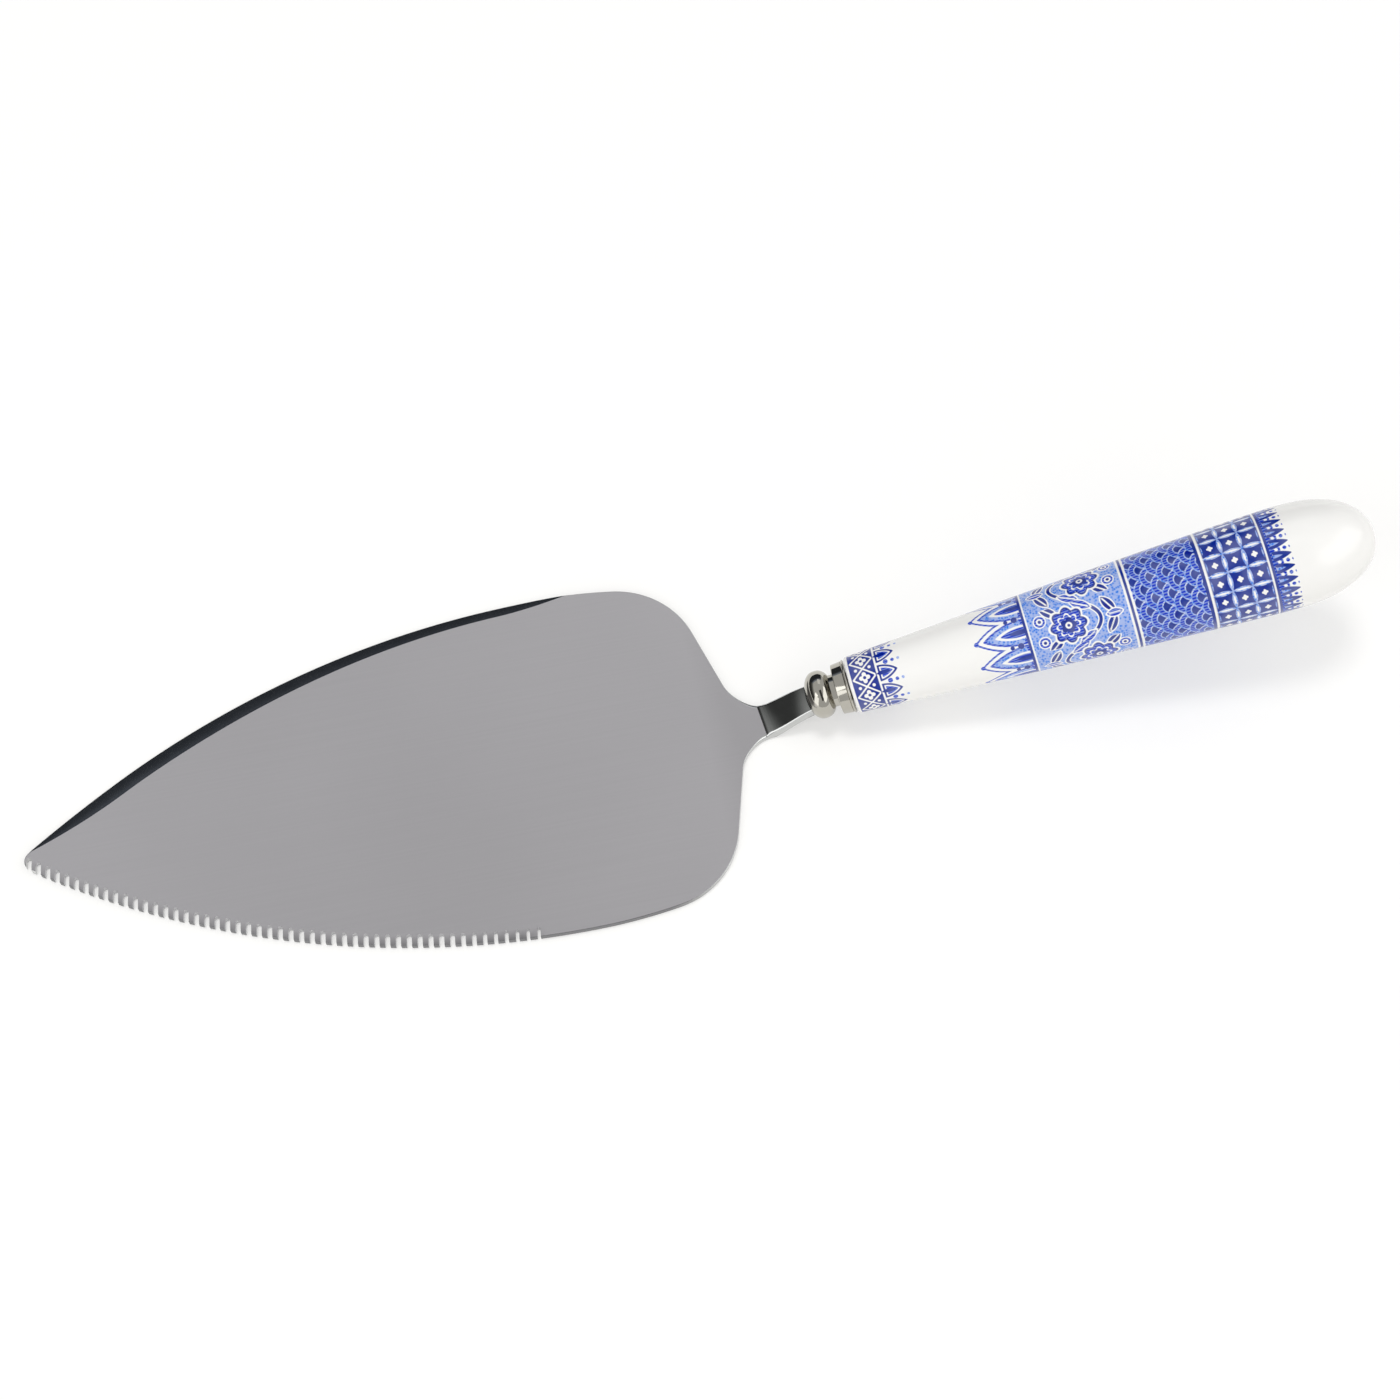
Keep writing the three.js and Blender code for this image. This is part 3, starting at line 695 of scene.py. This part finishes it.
def ferrule_profile(handle):
    """The ferrule: a rounded front edge, a plain wall, a groove and a rolled lip at the handle."""
    front = handle.ferrule_front
    back = front + handle.ferrule_length
    front_radius = handle.ferrule_front_diameter / 2
    back_radius = handle.ferrule_back_diameter / 2
    front_round, lip = 0.18 * MM, handle.ferrule_lip
    round_from, lip_from = 0.3, 0.1
    groove, groove_run = back - 2 * lip, 0.1 * MM
    rim_drop, groove_drop, lip_drop, back_drop = 0.03 * MM, 0.12 * MM, 0.1 * MM, 0.4 * MM
    points = [(front, 0), (front, front_radius - front_round)]
    for turn in np.linspace(round_from, math.pi / 2, 5).tolist():
        radius = front_radius - front_round * (1 - math.sin(turn))
        points.append((front + front_round * (1 - math.cos(turn)), radius))
    points += [(groove - groove_run, back_radius - rim_drop), (groove, back_radius - groove_drop)]
    for turn in np.linspace(lip_from, math.pi - lip_from, 13).tolist():
        points.append((back - lip - lip * math.cos(turn), back_radius - lip_drop + lip * math.sin(turn)))
    return points + [(back, back_radius - back_drop), (back, 0)]


def bezier(points, steps):
    """Points on a cubic curve with four control points."""
    share = np.linspace(0, 1, steps + 1)[:, None]
    a, b, c, d = [np.array(point) for point in points]
    rest = 1 - share
    return a * rest ** 3 + 3 * b * rest ** 2 * share + 3 * c * rest * share ** 2 + d * share ** 3


def wall_curve(front, front_radius, belly, belly_radius, end, steps):
    """A wall of the handle as (along, radius) pairs: a taper that swells to the belly, then a full dome."""
    neck_pull, neck_swell, belly_pull, fullness = 0.33, 0.4, 0.1, 0.62
    taper = belly - front
    dome = end - belly
    neck_reach = (front + taper * neck_pull, front_radius + (belly_radius - front_radius) * neck_swell)
    belly_reach = (belly - taper * belly_pull, belly_radius)
    side = bezier([(front, front_radius), neck_reach, belly_reach, (belly, belly_radius)], steps)
    dome_side = (belly + dome * fullness, belly_radius)
    dome_end = (end, belly_radius * fullness)
    butt = bezier([(belly, belly_radius), dome_side, dome_end, (end, 0)], steps)
    return np.vstack([side, butt[1:]])


def handle_walls(handle):
    """The outer wall of the handle, finely divided, and the inner one."""
    outer_steps, inner_steps = 400, 12
    front, wall = handle.porcelain_front, handle.wall
    end = front + handle.porcelain_length
    belly = end - handle.belly_from_butt
    belly_radius = handle.belly_diameter / 2
    bore_end, bore_radius = front + handle.bore_length, handle.bore_diameter / 2
    outer = wall_curve(front, handle.neck_diameter / 2, belly, belly_radius, end, outer_steps)
    inner = wall_curve(bore_end, bore_radius, belly, belly_radius - wall, end - wall, inner_steps)
    return outer, inner


def print_rows(handle):
    """Places along the outer wall from the neck, in millimetres, close together where the print is."""
    bare_step, bare_butt = 1.0, 16

    # Where each part of the print starts and ends, and the spacing of its rows
    printed = [(0.3, 11.0, 0.125), (23.4, 83.0, 0.198)]
    rows = [handle.neck_round / MM]
    while rows[-1] < handle.porcelain_length / MM - bare_butt:
        steps = [step for start, end, step in printed if start <= rows[-1] < end]
        rows.append(rows[-1] + min(steps, default=bare_step))
    return np.array(rows)


class Print:
    """A print in three blues. Each tone is a field in millimetres that is positive inside its ink."""

    def __init__(self, along, turn, radius):
        self.along = along
        self.turn = turn
        self.radius = radius
        self.tones = {tone: np.full(along.shape, -1.0) for tone in ("pale", "mid", "dark")}

    def paint(self, tone, shape, within=np.inf):
        """Paints what of a shape lies within another over what is there. White takes ink away."""
        shape = np.minimum(shape, within)
        for name, field in self.tones.items():
            if name == tone:
                np.maximum(field, shape, out=field)
            else:
                np.minimum(field, -shape, out=field)

    def tile(self, count, shift=0.0):
        """The number of each place's tile, of equal tiles round the handle."""
        return np.floor(self.turn / TURN * count + shift)

    def across(self, count, shift=0.0):
        """Distance round the handle from the middle of the tile."""
        share = self.turn / TURN * count + shift
        return (share - self.tile(count, shift) - 0.5) * TURN * self.radius / count

    def band(self, start, end):
        """A ring round the handle."""
        return np.minimum(self.along - start, end - self.along)


def leaf(x, y, long, wide):
    """A pointed oval along y."""
    bow = (long ** 2 + wide ** 2) / (4 * wide)
    return bow - np.hypot(np.abs(x) + bow - wide / 2, y)


def disc(x, y, radius):
    """A round dot."""
    return radius - np.hypot(x, y)


def rosette(x, y, petals, radius, notch):
    """A round blossom with notches between its petals."""
    turn = np.arctan2(x, y)
    return radius * (1 - notch + notch * np.abs(np.cos(turn * petals / 2))) - np.hypot(x, y)


def rotated(x, y, degrees):
    """Coordinates turned by an angle."""
    turn = math.radians(degrees)
    return x * math.cos(turn) + y * math.sin(turn), y * math.cos(turn) - x * math.sin(turn)


def outline(shape, width):
    """The rim of a shape."""
    return np.minimum(shape, width - shape)


def neck_border(art):
    """At the neck: a trellis of small flowers on dark blue, and a row of pointed lappets."""
    count, start, middle, end, lappet_start = 10, 0.65, 3.1, 5.4, 5.7
    line, margin, rim, inset = 0.15, 0.2, 0.36, 0.6
    x, edge_x = art.across(count), art.across(count, 0.5)
    y = art.along - middle
    ground = art.band(start, end)
    wide, tall = math.pi * art.radius / count, 2.15
    trellis = (np.abs(x) / wide + np.abs(y) / tall - 1) * wide * tall / np.hypot(wide, tall)
    art.paint("dark", ground)
    art.paint("white", line - np.abs(trellis), ground - margin)
    art.paint("white", rosette(x, y, petals=4, radius=1.05, notch=0.5))
    art.paint("dark", disc(x, y, radius=0.3))
    for side in (-1, 1):
        art.paint("white", disc(edge_x, y - side * 1.3, radius=0.3))
    past = art.along - lappet_start
    lappet = np.minimum(leaf(x, past, long=7.4, wide=3.1), past - 0.05)
    art.paint("dark", outline(lappet, rim))
    art.paint("mid", lappet - inset)
    art.paint("dark", leaf(x, past - 1.0, long=2.8, wide=0.8))
    for tone, place, radius in (("mid", 1.8, 0.46), ("mid", 3.1, 0.34), ("pale", 4.2, 0.28)):
        art.paint(tone, disc(edge_x, past - place, radius))


def lappet_border(art):
    """At the start of the main print: pale lappets inside a fine scalloped line."""
    count, end = 9, 33.2
    line, gap, rim, border = 0.17, 0.75, 0.36, 0.5
    x, edge_x = art.across(count), art.across(count, 0.5)
    before = end - art.along
    lappet = np.minimum(leaf(x, before, long=15.6, wide=4.9), before)
    art.paint("mid", line - np.abs(lappet + gap), before)
    art.paint("pale", lappet)
    art.paint("mid", outline(lappet, rim))
    art.paint("white", leaf(x, before - 1.0, long=9.2, wide=2.5), before)
    art.paint("mid", leaf(x, before - 0.8, long=7.6, wide=1.7), before)
    art.paint("dark", leaf(x, before - 0.8, long=4.4, wide=0.9), before)
    art.paint("dark", disc(edge_x, before - 1.3, radius=0.58))
    art.paint("dark", disc(edge_x, before - 2.9, radius=0.4))
    art.paint("mid", disc(x, before - 9.0, radius=0.42))
    art.paint("dark", art.band(end, end + border))


def vine(art):
    """A scrolling stem with a blossom in each bend, leaves, tendrils and berries on a pale ground."""
    count, start, end, middle = 6, 34.0, 52.1, 43.1
    swing, half_stem, half_vein, half_curl = 3.9, 0.3, 0.14, 0.19
    halo, margin, white_rim, dark_rim = 0.22, 0.2, 0.4, 0.38
    x = art.across(count)
    y = (art.along - middle) * np.where(art.tile(count) % 2 == 0, 1, -1)
    bay = TURN * art.radius / count
    stem_y = swing * np.cos(math.pi * x / bay)
    slope = swing * math.pi / bay * np.sin(math.pi * x / bay)
    stem = half_stem - np.abs(y - stem_y) / np.sqrt(1 + slope ** 2)
    art.paint("pale", art.band(start, end))
    art.paint("white", stem + halo)
    art.paint("dark", stem)
    for side in (-1, 1):
        for across, up, lean, long, wide, tone in (
            (1.8, 5.7, 58, 3.8, 1.6, "dark"),
            (3.1, 0.9, -152, 3.8, 1.5, "mid"),
            (3.2, -5.0, 40, 3.9, 1.6, "dark"),
            (0.0, 6.5, 0, 3.0, 1.3, "mid"),
        ):
            leaf_x, leaf_y = rotated(x - side * across, y - up, side * lean)
            blade = leaf(leaf_x, leaf_y, long, wide)
            art.paint("white", blade + halo)
            art.paint(tone, blade)
            art.paint("white", half_vein - np.abs(leaf_x), blade - margin)
        curl_x, curl_y = x - side * 2.0, y + 6.9
        art.paint("white", disc(curl_x, curl_y, radius=1.2))
        art.paint("mid", half_curl - np.abs(disc(curl_x, curl_y, radius=0.8)))
        art.paint("dark", disc(curl_x, curl_y, radius=0.32))
    heart_y = y + 2.0
    blossom = rosette(x, heart_y, petals=8, radius=3.4, notch=0.22)
    art.paint("white", blossom + white_rim)
    art.paint("dark", blossom)
    art.paint("mid", blossom - dark_rim)
    for tone, petals, radius in (("white", 8, 2.3), ("mid", 8, 1.95), ("dark", 5, 1.5)):
        art.paint(tone, rosette(x, heart_y, petals, radius, notch=0.3))
    art.paint("white", disc(x, heart_y, radius=0.62))
    art.paint("dark", disc(x, heart_y, radius=0.28))
    art.paint("dark", art.band(52.5, 53.0))


def scales(art):
    """Rows of overlapping round scales, each with a dark heart."""
    count, rows, first, spacing = 13, 10, 53.0, 1.55
    inside = art.band(53.4, 66.2)
    art.paint("mid", inside)
    for row in range(rows):
        x = art.across(count, 0.5 * (row % 2))
        y = art.along - first - row * spacing
        for tone, radius in (("pale", 2.3), ("mid", 2.05), ("pale", 1.32), ("dark", 1.1)):
            art.paint(tone, disc(x, y, radius), inside)
    art.paint("dark", art.band(66.0, 66.6))


def ring_band(art):
    """A dark band of interlaced rings, drawn as pale petals with a small star in each ring."""
    count, rows, start, cell, margin = 16, 3, 67.0, 3.6, 0.2
    petals = (("pale", cell, 0.9), ("white", 0.6 * cell, 0.405))
    ground = art.band(start, start + rows * cell)
    x, edge_x = art.across(count), art.across(count, 0.5)
    art.paint("dark", ground)
    for row in range(rows + 1):
        y = art.along - start - row * cell
        for tone, long, wide in petals:
            art.paint(tone, leaf(y, x, long, wide), ground - margin)
        if row < rows:
            for tone, long, wide in petals:
                art.paint(tone, leaf(edge_x, y - cell / 2, long, wide))
            art.paint("white", rosette(x, y - cell / 2, petals=4, radius=0.62, notch=0.55))


def fringe(art):
    """The end of the print: a row of leaves that point to the butt, with dots between."""
    count, start, band, border, leaf_start = 26, 78.1, 2.4, 0.5, 0.75
    x, edge_x = art.across(count), art.across(count, 0.5)
    past = art.along - start
    art.paint("mid", art.band(start, start + band))
    art.paint("dark", art.band(start, start + border))
    art.paint("dark", leaf(x, past - 0.7, long=7.2, wide=1.8), past - leaf_start)
    art.paint("pale", leaf(x, past - 1.0, long=3.0, wide=0.55), past - leaf_start)
    for tone, place, radius in (("white", 1.7, 0.3), ("mid", 3.2, 0.36), ("mid", 4.2, 0.28)):
        art.paint(tone, disc(edge_x, past - place, radius))


def stand(azimuth, elevation, distance):
    """A place round the object. Azimuth 0 is on the near side and 90 beyond the handle's end, in degrees."""
    a, e = math.radians(azimuth), math.radians(elevation)
    return Vector((math.sin(a) * math.cos(e), -math.cos(a) * math.cos(e), math.sin(e))) * distance


def softbox(name, centre, size, radiance, mirrored=False):
    """A rectangular lamp that faces the object, set by how bright its face is. Metal may mirror it."""
    data = bpy.data.lights.new(name, "AREA")
    data.shape = "RECTANGLE"
    data.size, data.size_y = size
    data.energy = radiance * math.pi * size[0] * size[1]
    lamp = bpy.data.objects.new(name, data)
    lamp.location = centre
    lamp.rotation_euler = (-lamp.location).to_track_quat("-Z", "Y").to_euler()
    lamp.visible_glossy = mirrored
    bpy.context.scene.collection.objects.link(lamp)


def card(name, centre, size, low, high, low_share=0.5, tint="#ffffff", shading=False):
    """A studio card for reflections: a tone below, another at its upper rim. A shading one dims the room."""
    wide, tall = size[0] / 2, size[1] / 2
    turn = (-centre).to_track_quat("Z", "Y")
    corners = [(-wide, -tall, 0), (wide, -tall, 0), (wide, tall, 0), (-wide, tall, 0)]
    points = [turn @ Vector(corner) + centre for corner in corners]
    rim = max(point.z for point in points)
    mesh = bpy.data.meshes.new(name)
    mesh.from_pydata(points, [], [(0, 1, 2, 3)])
    material, tree = new_material("card_" + name)
    place = add_node(tree, "ShaderNodeTexCoord").outputs["Object"]
    height = add_node(tree, "ShaderNodeSeparateXYZ", {0: place}).outputs[2]
    fade = {0: height, 1: low_share * rim, 2: rim, 3: low, 4: high}
    tone = add_node(tree, "ShaderNodeMapRange", fade, interpolation_type="SMOOTHSTEP")
    shader = add_node(tree, "ShaderNodeEmission", {"Color": linear(tint), "Strength": tone})
    add_node(tree, "ShaderNodeOutputMaterial", {"Surface": shader})
    mesh.materials.append(material)
    made = show(name, mesh)
    made.visible_camera = False
    made.visible_diffuse = shading
    made.visible_shadow = False


class CAKESERVER_OT_stage(bpy.types.Operator):
    """Sets up the camera, the lamps and the floor"""

    bl_idname = "cake_server.stage"
    bl_label = "Stage"

    def execute(self, context):
        scene = context.scene
        scene.view_settings.view_transform = "Standard"
        self.add_camera(scene)

        # White light from all round
        world = bpy.data.worlds.new("studio")
        world.use_nodes = True
        sky = world.node_tree.nodes["Background"].inputs
        sky["Color"].default_value = linear("#ffffff")
        sky["Strength"].default_value = 0.64
        scene.world = world

        # Lamps, with sizes in metres
        softbox("softbox_front", stand(-14, 45, 8.0), size=(15.2, 8.8), radiance=0.3)
        softbox("softbox_right", stand(90, 35, 8.0), size=(6.0, 6.0), radiance=0.7)
        softbox("softbox_top", stand(-145, 83, 8.0), size=(1.8, 1.8), radiance=17.4)
        softbox("softbox_left", stand(-58, 44, 2.2), size=(0.84, 1.0), radiance=1.6, mirrored=True)
        self.add_floor()

        # What the metal mirrors: dark flags and white cards
        dark_room = {"low_share": 0.67, "tint": "#dfeaff", "shading": True}
        card("flag_back", stand(-170, 20, 1.2), size=(2.2, 1.0), low=0.04, high=0.4, **dark_room)
        card("flag_left", stand(-110, 20, 1.2), size=(2.4, 1.1), low=0.05, high=0.35, tint="#f8faf8")
        card("flag_camera", stand(12, 60, 0.8), size=(0.28, 0.8), low=0.06, high=0.06)
        card("card_left", stand(-46, 20, 1.0), size=(0.6, 0.95), low=1.8, high=1.8)
        card("card_right", stand(62, 40, 1.0), size=(1.3, 0.66), low=1.9, high=1.9)
        card("card_top", stand(165, 50, 1.0), size=(0.35, 0.45), low=1.0, high=1.0)
        return {"FINISHED"}

    def add_camera(self, scene):
        """The camera looks down on the object from above its near side."""
        eye = Vector((-44.77, -214.92, 467.83)) * MM
        target = Vector((2.26, 7.29, 0.05)) * MM
        view_width, view_distance = 262.5 * MM, 520 * MM
        data = bpy.data.cameras.new("camera")
        data.lens = data.sensor_width * view_distance / view_width
        data.clip_start = 10 * MM
        camera = bpy.data.objects.new("camera", data)
        camera.location = eye
        camera.rotation_euler = (target - eye).to_track_quat("-Z", "Y").to_euler()
        scene.collection.objects.link(camera)
        scene.camera = camera

    def add_floor(self):
        """The floor lies a hair below the blade."""
        reach, drop = 12.0, 0.1 * MM
        corners = [(-reach, -reach), (reach, -reach), (reach, reach), (-reach, reach)]
        mesh = bpy.data.meshes.new("floor")
        mesh.from_pydata([(x, y, -drop) for x, y in corners], [], [(0, 1, 2, 3)])
        mesh.materials.append(white_paper())
        show("floor", mesh)


class CAKESERVER_OT_blade(bpy.types.Operator):
    """Makes the blade: a cranked plate, ground on one edge and serrated on the other"""

    bl_idname = "cake_server.blade"
    bl_label = "Blade"

    def execute(self, context):
        blade = context.scene.cake_server_blade
        finishes = context.scene.cake_server_finishes
        piece = show("serrated_blade", blade_blank(blade))
        satin = satin_steel(finishes, blade)
        centre, radius = edge_circle(blade)
        sizes = {
            "Count": blade.gullet_count,
            "Fading": blade.fading_gullets,
            "Pitch": blade.gullet_pitch,
            "From Widest": blade.gullet_from_widest,
            "Edge Radius": radius,
            "Width": blade.gullet_width,
            "Depth": blade.gullet_depth,
            "Height": 4 * blade.thickness,
            "First Width": blade.first_width_share,
            "First Depth": blade.first_depth_share,
            "Lean": blade.gullet_lean,
            "Edge Centre": (TIP_X + centre.x, -centre.y, 0),
            "Steel": satin,
        }
        mesh = baked(piece, serration_tree(), sizes)
        mesh.materials.clear()
        for steel in (
            satin,
            blanked_steel(finishes, blade),
            polished_metal("stainless_steel_polished", finishes.polished, smooth=0.1, smeared=0.16),
            polished_metal("stainless_steel_ground", finishes.ground, smooth=0.25, smeared=0.35),
        ):
            mesh.materials.append(steel)
        for face in mesh.polygons:
            face.material_index = self.finish_of(blade, face)
        shade(mesh, degrees=30)
        settle(piece, "blade")
        return {"FINISHED"}

    def finish_of(self, blade, face):
        """Satin on flat faces, polished on shank and bevel, ground in gullets, blanked on other edges."""
        satin, blanked, polished, ground = range(4)
        level, facing_up, wall_depth = 0.999, 0.5, 0.25 * MM
        x, y = face.center.x - TIP_X, face.center.y
        past = past_fold(blade, x, y)
        if past > 0:
            return polished
        if abs(face.normal.z) > level:
            return satin
        if past > -blade.buffed_neck or x < blade.tip_radius or (y > 0 and face.normal.z > facing_up):
            return polished
        centre, radius = edge_circle(blade)
        depth = radius - math.hypot(x - centre.x, y + centre.y)
        in_gullet = y < 0 and x < blade.widest_from_tip and depth > wall_depth
        return ground if in_gullet else blanked


class CAKESERVER_OT_fittings(bpy.types.Operator):
    """Makes the bead and the ferrule between the shank and the handle"""

    bl_idname = "cake_server.fittings"
    bl_label = "Bead and Ferrule"

    def execute(self, context):
        handle = context.scene.cake_server_handle
        bright = context.scene.cake_server_finishes.bright
        place = handle_frame(context.scene.cake_server_blade, handle)
        plate = polished_metal("nickel_plated_polished", bright, smooth=0.05, smeared=0.1)
        columns = 96
        for name, node, profile in (
            ("bolster_bead_polished", "bolster_bead", bead_profile(handle)),
            ("ferrule_ring_polished", "ferrule_cap", ferrule_profile(handle)),
        ):
            mesh = turned(name, profile, columns, place)
            shade(mesh, degrees=35)
            mesh.materials.append(plate)
            settle(show(name, mesh), node)
        return {"FINISHED"}


class CAKESERVER_OT_handle(bpy.types.Operator):
    """Makes the porcelain handle with its print"""

    bl_idname = "cake_server.handle"
    bl_label = "Porcelain Handle"

    def execute(self, context):
        handle = context.scene.cake_server_handle
        place = handle_frame(context.scene.cake_server_blade, handle)
        columns = 208
        front, rounding = handle.porcelain_front, handle.neck_round
        outer, inner = handle_walls(handle)
        rows = print_rows(handle)
        along = front + rows * MM
        radius = np.interp(along, outer[:, 0], outer[:, 1])

        # From the inside of the butt to the bore, round the rim, along the print and over the butt
        profile = [*inner[::-1], (front, handle.bore_diameter / 2)]
        for turn in np.linspace(math.pi / 2, 0.15, 7).tolist():
            rim_radius = radius[0] - rounding * (1 - math.cos(turn))
            profile.append((front + rounding * (1 - math.sin(turn)), rim_radius))
        first = len(profile) - 1
        profile += zip(along, radius)
        thinning, print_gap = 8, 0.5 * MM
        butt = outer[outer[:, 0] > along[-1] + print_gap]
        profile += [*butt[:-thinning:thinning], *butt[-4:]]
        mesh = turned("porcelain_handle", profile, columns, place)
        self.decorate(mesh, rows, radius / MM, first, columns)
        self.unwrap(mesh, len(profile) - 2, columns)
        shade(mesh, degrees=40)
        mesh.materials.append(printed_porcelain(context.scene.cake_server_finishes, handle))
        settle(show("porcelain_handle", mesh), "handle")
        return {"FINISHED"}

    def decorate(self, mesh, rows, radius, first, columns):
        """Draws the print on the rows of the outer wall and keeps each tone as an attribute."""
        turn = np.arange(columns) / columns * TURN
        along, turn = np.meshgrid(rows, turn, indexing="ij")
        art = Print(along, turn, np.repeat(radius[:, None], columns, axis=1))
        for motif in (neck_border, lappet_border, vine, scales, ring_band, fringe):
            motif(art)
        start = first * columns
        for tone, field in art.tones.items():
            values = np.full(len(mesh.vertices), -1.0, np.float32)
            values[start:start + field.size] = field.ravel()
            attribute = mesh.attributes.new("print_" + tone, "FLOAT", "POINT")
            attribute.data.foreach_set("value", values)

    def unwrap(self, mesh, rows, columns):
        """A UV map whose U goes round the handle and V along the profile."""
        corners = np.empty(len(mesh.loops), np.int32)
        mesh.loops.foreach_get("vertex_index", corners)
        totals = np.empty(len(mesh.polygons), np.int32)
        mesh.polygons.foreach_get("loop_total", totals)
        column = corners % columns
        face_of = np.repeat(np.arange(len(totals)), totals)
        largest = np.zeros(len(totals), np.int32)
        np.maximum.at(largest, face_of, np.where(corners < rows * columns, column, 0))
        wraps = (largest[face_of] == columns - 1) & (column == 0)
        u = np.where(wraps, 1.0, column / columns)
        v = np.clip(corners // columns, 0, rows - 1) / (rows - 1)
        layer = mesh.uv_layers.new(name="around_and_along")
        layer.data.foreach_set("uv", np.stack([u, v], axis=-1).astype(np.float32).ravel())


class CAKESERVER_OT_cement(bpy.types.Operator):
    """Gives the filling round the tang its finish"""

    bl_idname = "cake_server.cement"
    bl_label = "Cement"

    def execute(self, context):
        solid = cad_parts["cement_fill"]
        solid.data.materials.clear()
        solid.data.materials.append(set_cement(context.scene.cake_server_finishes))
        return {"FINISHED"}


STEPS = (
    CAKESERVER_OT_stage,
    CAKESERVER_OT_blade,
    CAKESERVER_OT_fittings,
    CAKESERVER_OT_handle,
    CAKESERVER_OT_cement,
)
GROUPS = {
    "cake_server_blade": BladeSizes,
    "cake_server_handle": HandleSizes,
    "cake_server_finishes": Finishes,
}


class CAKESERVER_PT_panel(bpy.types.Panel):
    """Lists the steps, the sizes and the colours"""

    bl_idname = "CAKESERVER_PT_panel"
    bl_label = "Cake Server"
    bl_space_type = "VIEW_3D"
    bl_region_type = "UI"
    bl_category = "Cake Server"

    def draw(self, context):
        column = self.layout.column()
        for step in STEPS:
            column.operator(step.bl_idname)
        for name, group in GROUPS.items():
            for setting in group.__annotations__:
                column.prop(getattr(context.scene, name), setting)


CLASSES = (*GROUPS.values(), *STEPS, CAKESERVER_PT_panel)


def register():
    for kind in CLASSES:
        bpy.utils.register_class(kind)
    for name, group in GROUPS.items():
        setattr(bpy.types.Scene, name, PointerProperty(type=group))


def unregister():
    for name in GROUPS:
        delattr(bpy.types.Scene, name)
    for kind in reversed(CLASSES):
        bpy.utils.unregister_class(kind)


def main():
    register()
    bpy.ops.cake_server.stage()
    bpy.ops.cake_server.blade()
    bpy.ops.cake_server.fittings()
    bpy.ops.cake_server.handle()
    bpy.ops.cake_server.cement()


if __name__ == "__main__":
    main()
